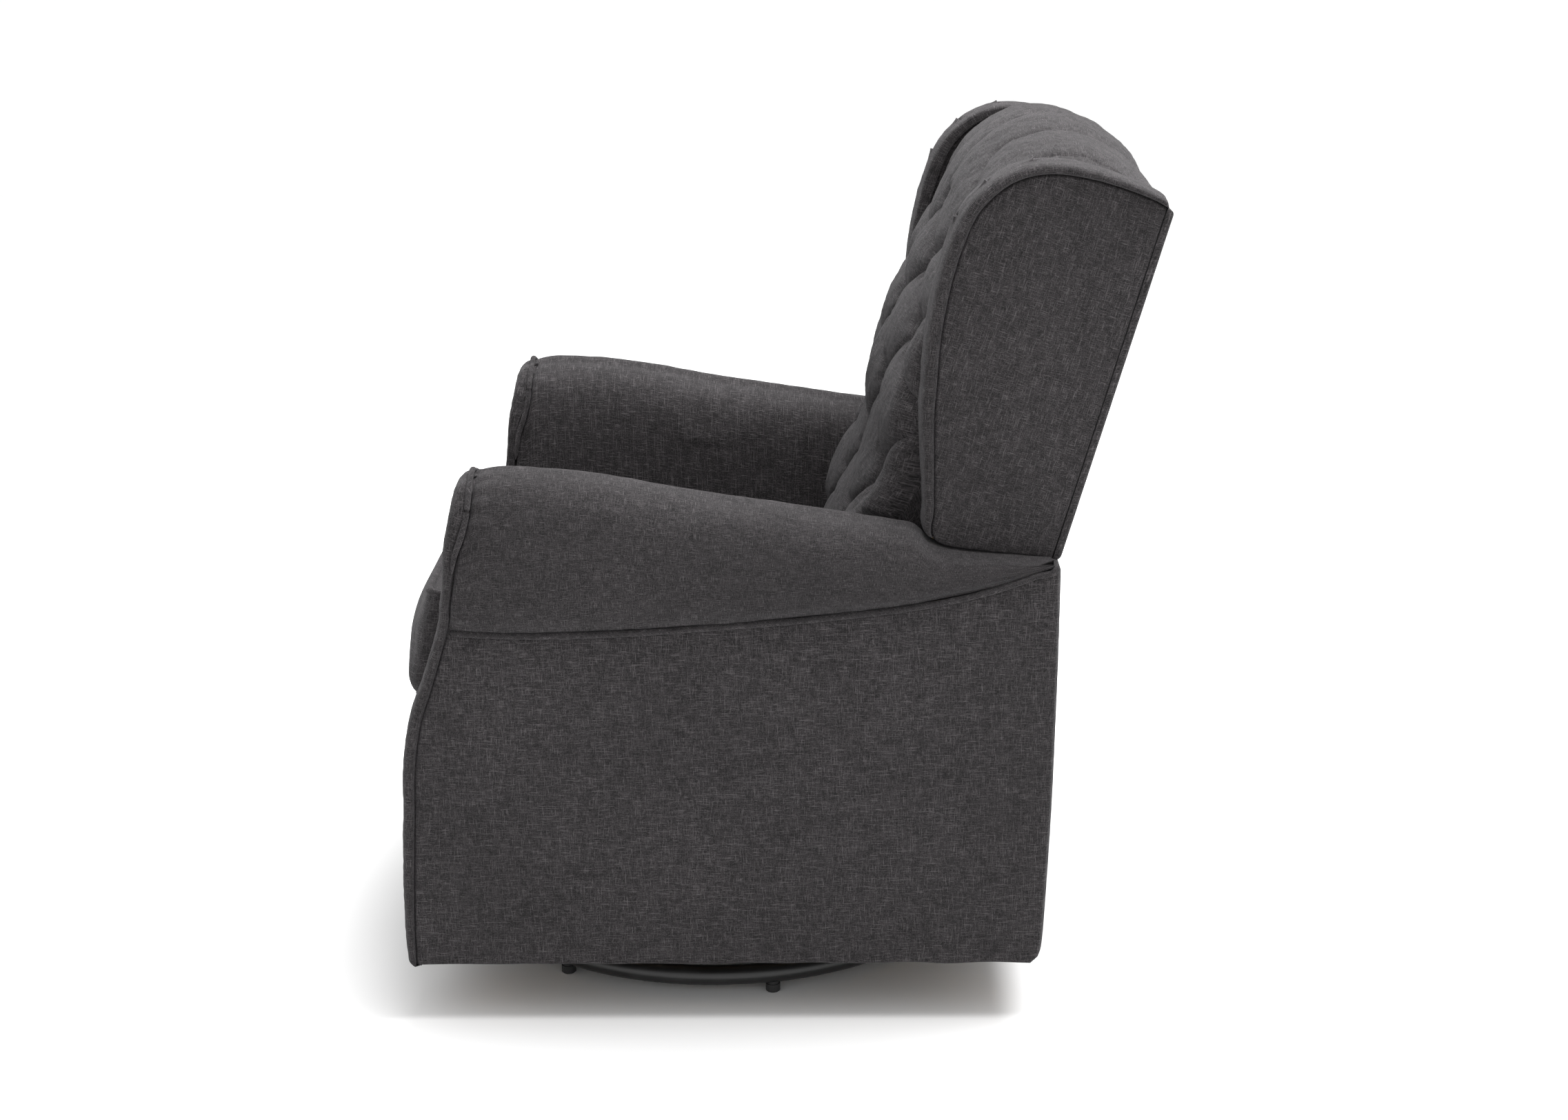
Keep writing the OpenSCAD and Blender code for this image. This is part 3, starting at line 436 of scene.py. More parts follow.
# The side's outlines: the groove down the arm's front, the seam and the arm's top
groovePoints = [
    (0, 0), (0, 50), (3, 121), (7, 191), (10, 248), (19, 304), (35, 351), (57.5, 425), (61, 451), (66.5, 486),
    (71, 518), (77.5, 538), (81, 548), (85, 560), (87, 572), (87.5, 582), (88, 590), (87.5, 599)]
frontGroove = smoothLine([(armFront + back, hem + up) for back, up in groovePoints])
armLine = smoothLine([
    (-345, 655), (-333, 667), (-320, 671.5), (-300, 673), (-278, 672), (-248, 670), (-218, 667.5),
    (-188, 664), (-158, 659.5), (-128, 654), (-97, 648), (-67, 642), (-37, 637), (-7, 632.5), (54, 623),
    (114, 614), (150, 608), (168, 604), (177, 598), (187, 588), (202, 580), (229, 575), (262, 571.5),
    (293, 569), (329, 566)])
seamLine = smoothLine([
    (-366, 493), (-300, 489), (-220, 489.5), (-131, 493), (-50, 499), (31, 505), (95, 511.5), (152, 518),
    (200, 526), (242, 535), (290, 550), (328, 565)])


def armTop(y):
    return np.interp(y, armLine[:, 0], armLine[:, 1])


def seamAt(y):
    return np.interp(y, seamLine[:, 0], seamLine[:, 1])


def grooveAt(z):
    return np.interp(z, frontGroove[:, 1], frontGroove[:, 0])


# A flat padded panel: a patch between four edges, rolled in all round
def panel(name, edges, place, nodes, thickness=10, roll=(5, 5), puff=2.5, reach=60, lumps=0.8,
          grid=(150, 110), shape=None, fill=0.35):
    bottom, rightEdge, top, leftEdge = [np.asarray(e, float) for e in edges]
    across, up = crowded(grid[0]), crowded(grid[1])
    b, t = resample(bottom, across)[:, None], resample(top, across)[:, None]
    l, r = resample(leftEdge, up)[None], resample(rightEdge, up)[None]
    s, w = across[:, None, None], up[None, :, None]
    flat = ((1 - w) * b + w * t + (1 - s) * l + s * r
            - (1 - s) * (1 - w) * bottom[0] - s * (1 - w) * bottom[-1]
            - (1 - s) * w * top[0] - s * w * top[-1])
    loop = (bottom, rightEdge, top[::-1], leftEdge[::-1])
    outline = np.vstack([resample(e, np.linspace(0, 1, 60)) for e in loop])
    inside = edgeDistance(flat, outline)
    height = puff * (1 - np.exp(-inside / reach)) - rounding(inside, *roll)
    height = height + lumps * ripple(flat[..., 0], flat[..., 1], 170, len(name)) * ease(inside / 60)
    height = height + 0.35 * ripple(flat[..., 0], flat[..., 1], 34, len(name) + 5) * ease(inside / 20)
    if shape is not None:
        height = height + shape(flat[..., 0], flat[..., 1], inside)
    outer = place(flat[..., 0], flat[..., 1], height)
    inner = place(flat[..., 0], flat[..., 1], np.full_like(height, -thickness))
    return dress(paddedSolid(name, outer, inner, flat), *nodes, fill=fill)


bodyLook = {
    "hemWave": 1.1,
    "weltRadius": 4.0,
    "weltDrop": 4.2,      # the welt hangs this far under the arm's seam
    "rearInset": 3,       # the rear panel stops short of the sides
    "rearTop": 564,
}
rearLine = smoothLine([(311, hem), (319, hem + 9), (322.5, 100), (325, 140), (328, 200), (331, 270),
                       (333, 340), (335, 430), (336, 500), (336.5, 562)])


def hemLine(start, end, seed, count=40):
    a = np.linspace(start, end, count)
    return np.stack([a, hem + bodyLook["hemWave"] * ripple(a, a * 0, 95, seed)], -1)


for side in (left, right):
    name = "sideCover_" + sideNames[side]
    low = frontGroove[frontGroove[:, 1] < seamStart + 2] + [0.6, 0]
    topEdge = np.vstack([[low[-1]], seamLine[seamLine[:, 0] > low[-1][0] + 2] - [0, 5.5], [rearLine[-1]]])
    panel(name, [hemLine(low[0][0], rearLine[0][0], 3), rearLine, topEdge, low],
          lambda y, z, h, side=side: np.stack([side * (armOut + 0.5 + h), y, z], -1),
          ["side_panel_" + sideNames[side]],
          thickness=13, roll=(4, 6), puff=3.0, reach=90, lumps=1.1, grid=(190, 130))
    path = seamLine[seamLine[:, 0] < 318] - [0, bodyLook["weltDrop"]]
    path = np.column_stack([np.full(len(path), armOut + 1.0), path])
    path[:, 0] -= np.interp(path[:, 1], [-372, -362], [4, 0])
    tail = np.array([[armOut + 1, 327, 556.5], [armOut - 0.5, 332.5, 561.0], [armOut - 3.5, 335.0, 564.5]])
    path = np.vstack([path[path[:, 1] < 312][::14], tail]) * [side, 1, 1]
    dress(welt("sideWelt_" + sideNames[side], smoothLine(path), bodyLook["weltRadius"]), fill=None)

rearOut, rearTop = armOut - bodyLook["rearInset"], bodyLook["rearTop"]
panel("rearCover", [hemLine(-rearOut, rearOut, 8), [[rearOut, hem], [rearOut, rearTop]],
                    [[-rearOut, rearTop], [rearOut, rearTop]], [[-rearOut, hem], [-rearOut, rearTop]]],
      lambda x, z, h: np.stack([x, np.interp(z, rearLine[:, 1], rearLine[:, 0]) + 1.5 + h, z], -1),
      ["rear_panel"], thickness=13, roll=(7, 7), puff=3, reach=90, lumps=1.2, grid=(150, 110))
frontTop = corner("front_panel", 1)[2]
frontOut = armIn + 1
panel("frontCover", [hemLine(-frontOut, frontOut, 12), [[frontOut, hem], [frontOut, frontTop]],
                     [[-frontOut, frontTop], [frontOut, frontTop]],
                     [[-frontOut, hem], [-frontOut, frontTop]]],
      lambda x, z, h: np.stack([x, railFront - 13 - h, z], -1),
      ["front_panel"], thickness=12, roll=(5, 5), puff=4, reach=60, lumps=1.0, grid=(110, 80))
print("body panels made")


armLook = {
    "pucker": 1.3,             # gathers behind the front roll
    "puckerPitch": 21.0,
    "grooveRoll": (5.0, 9.0),  # width and depth of the dip at the front groove
    "girth": 190,
    "wall": 9.0,
    "rear": 329.0,
}
# points round the arm: x from the outside or inside face, share of the height, and a lift in millimetres
armSection = [
    ("out", -14, 0, -5.5), ("out", -5, 0, -2.5), ("out", 0.5, 0, 0.3), ("out", 4.5, 0.02, 2),
    ("out", 9.5, 0.08, 1.5), ("out", 13.5, 0.20, 0), ("out", 15, 0.36, 0), ("out", 13.8, 0.52, 0),
    ("out", 11, 0.645, 0), ("out", 6, 0.75, 0), ("out", -2, 0.84, 0), ("out", -12, 0.905, 0),
    ("out", -22, 0.947, 0), ("out", -33, 0.977, 0), ("out", -45, 0.996, 0), ("out", -54, 0.998, 0),
    ("out", -66, 0.982, 0), ("in", 43, 0.974, 0), ("in", 30, 0.955, 0), ("in", 19, 0.928, 0),
    ("in", 10.5, 0.885, 0), ("in", 4.5, 0.82, 0), ("in", 1.2, 0.72, 0), ("in", 0.4, 0.55, 0),
    ("in", 0.2, 0.22, 0), ("in", 0, 0, 0),
]
ridgeAt = 15      # the section point that lies on the arm's ridge


def armRound(around):   # the section's x, share, lift and place in the list, evenly spaced
    rows = [((armOut if edge == "out" else armIn) + dx, share * 170, lift, i * 5.0)
            for i, (edge, dx, share, lift) in enumerate(armSection)]
    section = smoothLine(rows, np.linspace(0, 1, around))
    return section[:, 0], np.clip(section[:, 1] / 170, 0, 1), section[:, 2], section[:, 3] / 5.0


def armSurface(x0, share, lift, order, y):
    inward = ease((order - ridgeAt + 3) / 5)     # 0 outside, 1 on the inner side
    lowIn = railTop - (y - railFront) * math.tan(pitch) + 1
    low = seamAt(y) * (1 - inward) + lowIn * inward
    swell = np.clip((armTop(y) - seamAt(y)) / 120, 0, 1) ** 0.8
    x = np.where(x0 > armOut, armOut + (x0 - armOut) * swell, x0) + 0 * y
    return x, low + share * (armTop(y) - low) + lift * (1 - inward)


def frontEdgeAt(share, order):   # height of the arm's front edge
    low = np.where(order < ridgeAt, seamStart + 1, railTop + 12)
    return low + share * (frontGroove[-1, 1] - low)


for side in (left, right):
    name = "armCover_" + sideNames[side]
    stations, around = 190, 170
    x0, share, lift, order = armRound(around)
    closeRows = [0, 0.002, 0.004, 0.0065, 0.009, 0.012]
    t = np.concatenate([closeRows, np.linspace(0.017, 1, stations - len(closeRows))])[:, None]
    yFront = grooveAt(frontEdgeAt(share, order))[None] + 0.6
    y = yFront + t * (armLook["rear"] - yFront)
    x, z = armSurface(x0[None], share[None], lift[None], order[None], y)
    # the section sinks towards the groove at the front, with gathers behind it
    fromFront = y - yFront
    sink = rounding(fromFront, *armLook["grooveRoll"]) * (1 - 0.5 * ease((share[None] - 0.78) / 0.14))
    girth = armLook["girth"]
    roundRun = np.concatenate([[0], np.cumsum(np.hypot(np.diff(x0), np.diff(share * girth)))])[None]
    gathers = np.sin(2 * math.pi * roundRun / armLook["puckerPitch"] + 2 * ripple(roundRun, y * 0, 90, 5))
    fading = np.exp(-fromFront / 24) * ease(fromFront / 6)
    sink = sink + armLook["pucker"] * gathers * fading * (order[None] < ridgeAt)
    soft = 1.5 * ripple(y, roundRun, 210, 21) + 0.5 * ripple(y, roundRun, 46, 22)
    sink = sink - soft * ease(fromFront / 40)
    facingOut = np.stack([np.gradient(share * girth), -np.gradient(x0)], -1)
    facingOut /= np.linalg.norm(facingOut, axis=1)[:, None] + 1e-9
    nx, nz = facingOut[:, 0][None], facingOut[:, 1][None]
    guard = np.where(x0 <= armIn + 1.5, 0.0, 1.0)[None]      # the inner side stays clear of the cushion
    outer = np.stack([side * (x - sink * nx * guard), y + 0 * x, z - sink * nz], -1)
    deep = sink + armLook["wall"]
    inner = np.stack([side * (x - deep * nx), y + 0 * x, z - deep * nz], -1)
    cloth = np.stack([y, roundRun + 0 * y], -1)
    dress(paddedSolid(name, outer, inner, cloth),
          "arm_pad_" + sideNames[side], "inside_arm_" + sideNames[side], fill=0.7)
print("arm covers made")


# A band's outer edge: x past its side, and how far it stands out
bandEdge = [(-9.0, 0.4), (-4.0, 0.1), (0.2, 0.6), (2.6, 2.6), (3.8, 6.5), (3.4, 11.0), (0.2, 15.6),
            (-7, 18.4), (-18, 19.6)]
bandFull = bandEdge[-1][1]


def runAlong(path):
    return np.concatenate([[0], np.cumsum(np.linalg.norm(np.diff(path, axis=0), axis=1))])


# A puffy band that stands in front of a groove: path and normals in a side plane, x across it
def band(name, path, normals, outside, insideX, depth, place, nodes, tail=0, darts=(), fill=0.75, seed=4):
    run = runAlong(path)
    keys = [(0, dx, f / bandFull) for dx, f in bandEdge]
    keys.append((0.5, 0, 1.04))
    for dx, f in bandEdge[::-1]:
        keys.append((1, -dx if dx < 0 else -dx * 0.15, f / bandFull))
    keys = np.array(keys)
    if tail:
        keys = np.vstack([keys, [[1, 0, -tail * 0.5 / bandFull], [1, 0.5, -tail / bandFull]]])
    guide = np.column_stack([keys[:, 0] * 90, keys[:, 1], keys[:, 2] * bandFull])
    fine = smoothLine(np.column_stack([guide, keys[:, 0]]), np.linspace(0, 1, 84))
    share, dx, f = np.clip(fine[:, 3], 0, 1), fine[:, 1], fine[:, 2] / bandFull
    out, into = np.asarray(outside)[:, None], np.asarray(insideX)[:, None]
    x = out * (1 - share) + into * share + dx
    size = np.asarray(depth)[:, None]
    push = np.where(f[None] > 0, f[None] * size, f[None] * bandFull)
    push = push + 0.5 * ripple(run[:, None], x, 55, seed) * ease(f[None])
    push = push + 0.25 * ripple(run[:, None], x, 17, seed + 1) * ease(f[None])
    for at, amount, lo, hi in darts:   # small pleats across the band, each with one steep edge
        away = run[:, None] - at
        tooth = np.where(away < 0, np.exp(away / 6.0), -0.7 * np.exp(-away / 2.6))
        window = ease((share[None] - lo) / 0.12) * ease((hi - share[None]) / 0.3) * ease(f[None] * 2 - 1)
        push = push + amount * tooth * window
    a = path[:, 0][:, None] + normals[:, 0][:, None] * push
    b = path[:, 1][:, None] + normals[:, 1][:, None] * push
    outer = place(x + 0 * a, a, b)
    inset = np.where(f[None] > 0.15, push - 8, push)
    xIn = x - np.where(f[None] < 0.8, np.sign(0.5 - share)[None] * 7, 0)
    inner = place(xIn + 0 * a, path[:, 0][:, None] + normals[:, 0][:, None] * inset,
                  path[:, 1][:, None] + normals[:, 1][:, None] * inset)
    girth = np.concatenate([[0], np.cumsum(np.hypot(np.diff(x[len(x) // 3]), np.diff(f * 18)))])
    cloth = np.stack([run[:, None] + 0 * x, girth[None] + 0 * run[:, None]], -1)
    return dress(paddedSolid(name, outer, inner, cloth), *nodes, fill=fill)


def sideNormals(path, turn):
    along = np.gradient(path, axis=0)
    along /= np.linalg.norm(along, axis=1)[:, None]
    return np.stack([-along[:, 1], along[:, 0]], -1) * turn


facingLook = {
    "endRound": 10.0,
    "depthUp": [72, 95, 200, 330, 400, 470, 520, 560, 590, 617, 634, 649, 658],
    "depth": [10, 12, 15, 16, 15.5, 13.5, 13, 14, 16, 20, 22, 21, 17],
    # the facing's outside and inside follow the roll
    "outUp": [72, 476, 505, 530, 560, 590, 620, 640, 653, 661, 666, 670],
    "out": [0, 0, 5, 10, 12, 11, 6.5, -3, -14, -25, -36, -48],
    "inUp": [560, 600, 630, 645, 655, 663, 668],
    "in": [0, 1.5, 9, 19, 30, 43, 57],
    "weltRadius": 3.5,
}
for side in (left, right):
    name = "armFacing_" + sideNames[side]
    path = frontGroove[frontGroove[:, 1] < 666]
    rows = [np.linspace(0, 0.02, 12), np.linspace(0.026, 0.955, 190), np.linspace(0.96, 1, 26)]
    path = resample(path, np.concatenate(rows))
    normals = sideNormals(path, 1.0)
    normals[:, 0] = -np.abs(normals[:, 0])
    length = lineLength(path)
    run = runAlong(path)
    z = path[:, 1]
    ends = np.sqrt(np.clip(1 - np.clip(1 - run / 7, 0, 1) ** 2, 0.05, 1)) * np.sqrt(
        np.clip(1 - np.clip(1 - (length - run) / facingLook["endRound"], 0, 1) ** 2, 0.004, 1))
    depth = np.interp(z, facingLook["depthUp"], facingLook["depth"]) * ends
    outside = armOut + np.interp(z, facingLook["outUp"], facingLook["out"])
    insideX = armIn + 0.2 + np.interp(z, facingLook["inUp"], facingLook["in"])
    band(name, path, normals, outside, insideX, depth,
         lambda x, y, z, side=side: np.stack([side * x, y, z], -1), ["arm_facing_" + sideNames[side]],
         seed=31)
    x0, share, lift, order = armRound(120)
    y = grooveAt(frontEdgeAt(share, order))
    x, z = armSurface(x0, share, lift, order, y)
    keep = (share > 0.42) & (z > 540)
    turnX, turnZ = np.gradient(z), -np.gradient(x)
    reach = (2.6 + 3.2 * ease((z - 610) / 50)) / (np.hypot(turnX, turnZ) + 1e-9)
    path = np.stack([side * (x + turnX * reach), y - 1.4, z + turnZ * reach], -1)[keep]
    dress(welt("armWelt_" + sideNames[side], path, facingLook["weltRadius"], taper=40), fill=None)
print("arm facings made")


wingLook = {
    "dartHeight": 4.4,
    "darts": ((213, 335), (197, 377), (160, 408)),
    "depthAt": [0, 0.03, 0.1, 0.26, 0.58, 0.7, 0.85, 1],    # along the band
    "depth": [10, 12, 13.5, 17.5, 18, 14, 12, 8],
}
# the wing's edge, forward of the outside back and up the rake
wingGroove = smoothLine([
    (70, -18), (100, -23), (128, -27), (144, -26), (153, -19), (156.5, -8), (157.5, 2), (160, 14), (165, 30),
    (170, 47), (175, 63), (184, 93), (192, 121), (198, 150), (206, 185), (211, 214), (215, 250), (216.5, 280),
    (216, 308), (212, 343), (203, 366), (188, 388), (170, 403), (150, 412.5), (128, 418), (100, 421),
    (76, 421.5), (50, 420.5), (26, 418), (10.5, 414.5)])
wingStart = int(np.argmin(np.hypot(wingGroove[:, 0] - 153, wingGroove[:, 1] + 19)))
wingFrontTop = int(np.argmin(np.hypot(wingGroove[:, 0] - 188, wingGroove[:, 1] - 388)))
for side in (left, right):
    frontEdge = wingGroove[wingStart:wingFrontTop + 1]
    topEdge = wingGroove[wingFrontTop:]
    lowRear = smoothLine([(70, -18), (40, -12.5), (20, -9.5), (11, -8)])
    lowEdge = np.vstack([wingGroove[:wingStart + 1][::-1], lowRear[1:]])
    rearEdge = np.array([[11, -8], [10.5, 100], [10.5, 300], [10.5, wingGroove[-1, 1]]], float)

    def sag(u, v, inside):   # the cloth pulls a little between its corners
        return 1.2 * np.exp(-((u - 95) / 60) ** 2 - ((v - 180) / 150) ** 2)

    panel("wingCover_" + sideNames[side], [lowEdge, rearEdge, topEdge, frontEdge],
          lambda u, v, h, side=side: onBack(side * (wingOut - 1 + h), u, v),
          ["wing_pad_" + sideNames[side]],
          thickness=12, roll=(3.5, 6.5), puff=3.0, reach=45, lumps=0.8, grid=(120, 160), shape=sag)
    path = resample(wingGroove[wingStart - 4:], np.linspace(0, 1, 420))
    normals = sideNormals(path, -1.0)
    run = runAlong(path)
    length = run[-1]
    ends = np.sqrt(np.clip(1 - np.clip(1 - run / 14, 0, 1) ** 2, 0.05, 1))
    ends = ends * np.sqrt(np.clip(1 - np.clip(1 - (length - run) / 9, 0, 1) ** 2, 0.05, 1))
    depth = np.interp(run / length, wingLook["depthAt"], wingLook["depth"]) * ends

    def runNear(u, v):
        return run[int(np.argmin(np.hypot(path[:, 0] - u, path[:, 1] - v)))]

    darts = [(runNear(*p), wingLook["dartHeight"], 0.10, 0.80) for p in wingLook["darts"]]
    outside, insideX = np.full(len(path), wingOut - 0.5), np.full(len(path), wingIn + 0.5)
    band("wingBand_" + sideNames[side], path, normals, outside, insideX, depth,
         lambda x, u, v, side=side: onBack(side * x, u, v), [], tail=75, darts=darts, seed=11)
print("wings made")


padLook = {
    "foldDepth": 19.0,       # how deep the folds between the tufts go
    "tuftDepth": 11.0,       # how much deeper each tuft pulls
    "tuftSpread": 21.0,
    "crownFold": 9.0,        # depth of the channels over the crown
    "columnPitch": 200.0,
    "rowPitch": 84.0,
    "edgeDrop": 20.0,
    "edgeRoll": (34.0, 22.0),
}
padProfile = smoothLine([
    (222, -205), (236, -198), (246, -186), (252, -130), (246, -60), (244, 5), (251, 55), (257, 105),
    (257, 150), (251, 200), (244, 250), (237, 290), (230, 330), (221, 366), (205, 399), (184, 425),
    (161, 443), (136, 454), (105, 459), (72, 455), (42, 446), (20, 433), (9, 417)])
profileRun = runAlong(padProfile)


def profileAt(v):   # distance along the front face at a height up the rake
    front = padProfile[:, 0] > 180
    return float(np.interp(v, padProfile[front, 1], profileRun[front]))


tuftRows = [-250, -165, -82, 2, 95, 184, 256, 322]
rowRun = [profileAt(-195) - 70, profileAt(-165)] + [profileAt(v) for v in tuftRows[2:]]
rowNumber = [-2, -1, 0, 1, 2, 3, 4, 5]
alongCount, acrossCount = 380, 250
s = np.linspace(0, profileRun[-1], alongCount)
line = resample(padProfile, np.linspace(0, 1, alongCount))
along = np.gradient(line, axis=0)
along /= np.linalg.norm(along, axis=1)[:, None]
normal = np.stack([along[:, 1], -along[:, 0]], -1)      # out of the pad
half = padNarrow - 1 + (padWide - padNarrow) * ease((line[:, 1] + 56) / 34)
evenly = np.linspace(-1, 1, acrossCount)
x = half[:, None] * (np.sin(evenly * math.pi / 2) * 0.35 + evenly * 0.65)[None]
wanderX = x + 7 * ripple(x, s[:, None], 240, 61)
wanderS = s[:, None] + 6 * ripple(x, s[:, None], 230, 62)
row = np.interp(wanderS, rowRun, rowNumber)
row = np.where(wanderS > rowRun[-1], 5 + (wanderS - rowRun[-1]) / 66.0, row)
a = wanderX / padLook["columnPitch"]
spread = ease((row - 5) / 1.6)      # the channels fan out over the crown
fanned = np.interp(np.abs(wanderX), [0, 60, 110, 200, 260], [0, 0.6, 1.0, 1.5, 2.0])
channelAt = fanned * spread + np.abs(a) * (1 - spread)
foldUp, foldDown = (row + 1) / 2 + a, (row + 1) / 2 - a


def lobe(t, lean=0.82):
    share = t - np.floor(t)
    return np.abs(np.sin(math.pi * share ** lean))


diamond = (lobe(foldUp) * lobe(foldDown)) ** 0.40
channel = np.abs(np.sin(math.pi * channelAt)) ** 0.45
over = ease((row - 4.75) / 0.7)
crownFade = padLook["crownFold"] * (1 - 0.45 * ease((row - 6.5) / 3.0))
sinkIn = padLook["foldDepth"] * (1 - diamond) * (1 - over) + crownFade * (1 - channel) * over
up, down = np.round(foldUp), np.round(foldDown)
tuftRow, tuftCol = up + down - 1, (up - down) / 2
dRow = (row - tuftRow) * padLook["rowPitch"]
dCol = (a - tuftCol) * padLook["columnPitch"]
pull = np.exp(-(dRow ** 2 + dCol ** 2) / padLook["tuftSpread"] ** 2) * (tuftRow <= 5.5)
sinkIn = sinkIn + padLook["tuftDepth"] * pull
# short creases fan out from each tuft, with finer ripples across the lobes
angle = np.arctan2(dRow, dCol)
reachOut = np.sqrt(dRow ** 2 + dCol ** 2)
fan = np.cos(angle * 6 + 1.3 * up + 2.1 * down) * np.exp(-((reachOut - 26) / 17) ** 2)
sinkIn = sinkIn + 1.4 * fan * (tuftRow <= 5.5)
sinkIn = sinkIn + 0.8 * ripple(x, s[:, None], 52, 63) + 0.3 * ripple(x, s[:, None], 15, 64)
edge = half[:, None] - np.abs(x)
arch = padLook["edgeDrop"] * (np.abs(x) / padWide) ** 1.3 * ease((s[:, None] - profileAt(-60)) / 80)
width, depth = padLook["edgeRoll"]
lowEdge = 24 * (1 - ease((s[:, None] - profileAt(60)) / 130))      # the lower sides tuck in behind the wings
crownEdge = 1 - 0.45 * ease((s[:, None] - profileAt(300)) / 90)
sinkIn = sinkIn + arch + rounding(edge, width, 1.0) * (depth + lowEdge) * crownEdge
sinkIn = sinkIn * ease((s[:, None] + 15) / 30) * ease((profileRun[-1] + 6 - s[:, None]) / 34)
core = smoothLine([(70, -190), (70, 0), (70, 200), (70, 372), (40, 396), (10, 404)],
                  np.linspace(0, 1, alongCount))
u = line[:, 0][:, None] - normal[:, 0][:, None] * sinkIn
v = line[:, 1][:, None] - normal[:, 1][:, None] * sinkIn
padOuter = onBack(x, u, v)
padInner = onBack(x, core[:, 0][:, None] + 0 * x, core[:, 1][:, None] + 0 * x)
padCloth = np.stack([x, s[:, None] + 0 * x], -1)
dress(paddedSolid("backPad", padOuter, padInner, padCloth), "back_pad", fill=0.8)
print("back pad made")

backOut, backLow = wingOut - 1, -7
panel("outsideBack", [[[-backOut, backLow], [backOut, backLow]], [[backOut, backLow], [backOut, backLength]],
                      [[-backOut, backLength], [backOut, backLength]],
                      [[-backOut, backLow], [-backOut, backLength]]],
      lambda x, v, h: onBack(x, 1.5 - h, v), ["outside_back_panel"],
      thickness=9, roll=(6, 6), puff=4, reach=90, lumps=1.2, grid=(130, 110))
print("outside back made")


cushionLook = {
    "half": 249.0,
    "cornerRound": 20.0,
    "pressure": 4.0,
    "voxel": 6.0,
    "cap": 12.0,
    "weltRadius": 4.4,
}
cushionTop = smoothLine([(12, 148), (70, 151), (215, 154.5), (360, 150), (430, 145)])
# the nose from its low seam up to the top seam, in the room's y and z: in the middle and at a corner
noseMiddle = [(-436, 366), (-449, 370), (-455, 384), (-456, 400), (-452, 420), (-445, 444), (-436, 463),
              (-425, 482), (-413, 498)]
noseCorner = [(-428, 368), (-436, 373), (-441, 384), (-440, 396), (-436, 409), (-431, 430), (-427, 449),
              (-420, 470), (-411, 499)]


def cushionLine(x):   # the cushion's outline on one side-to-side station, in the room's y and z
    share = ease((abs(x) - 60) / 190) ** 1.2
    nose = smoothLine(noseMiddle, crowded(34)) * (1 - share) + smoothLine(noseCorner, crowded(34)) * share
    top = onSeat(0, *resample(cushionTop, np.linspace(0, 1, 60)).T)[:, 1:]
    rear = onSeat(0, np.full(12, 430.0), np.linspace(145, 16, 12))[:, 1:]
    under = onSeat(0, np.linspace(430, 0, 46), np.full(46, 16.0))[:, 1:]
    return np.vstack([nose, top, rear[1:], under[1:]]), nose


half, cornerRound = cushionLook["half"], cushionLook["cornerRound"]
stationsAt = np.concatenate([np.linspace(-half, -half + cornerRound, 9)[:-1],
                             np.linspace(-half + cornerRound, half - cornerRound, 60),
                             np.linspace(half - cornerRound, half, 9)[1:]])


def cornerPull(x, y):   # rounds the cushion's front corners
    return rounding(half - abs(x), cornerRound) * ease((-360 - y) / 60)


def cushionRings():
    rings = []
    for x in stationsAt:
        y, z = cushionLine(x)[0].T
        rings.append(np.column_stack([np.full(len(y), x), y + cornerPull(x, y), z]))
    return np.array(rings)


def boxCloth(piece):   # weave directions for a mesh that has lost its layout
    mesh = piece.data
    at = np.empty(len(mesh.vertices) * 3)
    mesh.vertices.foreach_get("co", at)
    at = at.reshape(-1, 3)
    normals = np.empty(len(mesh.vertices) * 3)
    mesh.vertices.foreach_get("normal", normals)
    normals = np.abs(normals.reshape(-1, 3))
    upright = np.where(normals[:, 1:2] > 0.6, at[:, [0, 2]], at[:, [1, 2]])
    weave = np.where(normals[:, 2:] > 0.6, at[:, [0, 1]], upright)
    weave = np.column_stack([weave, np.full(len(at), 0.77)]).astype(np.float32)
    layer = mesh.attributes.get("weaveAt") or mesh.attributes.new("weaveAt", "FLOAT_VECTOR", "POINT")
    layer.data.foreach_set("vector", weave.ravel())


def activate(piece):
    bpy.ops.object.select_all(action="DESELECT")
    piece.select_set(True)
    bpy.context.view_layer.objects.active = piece


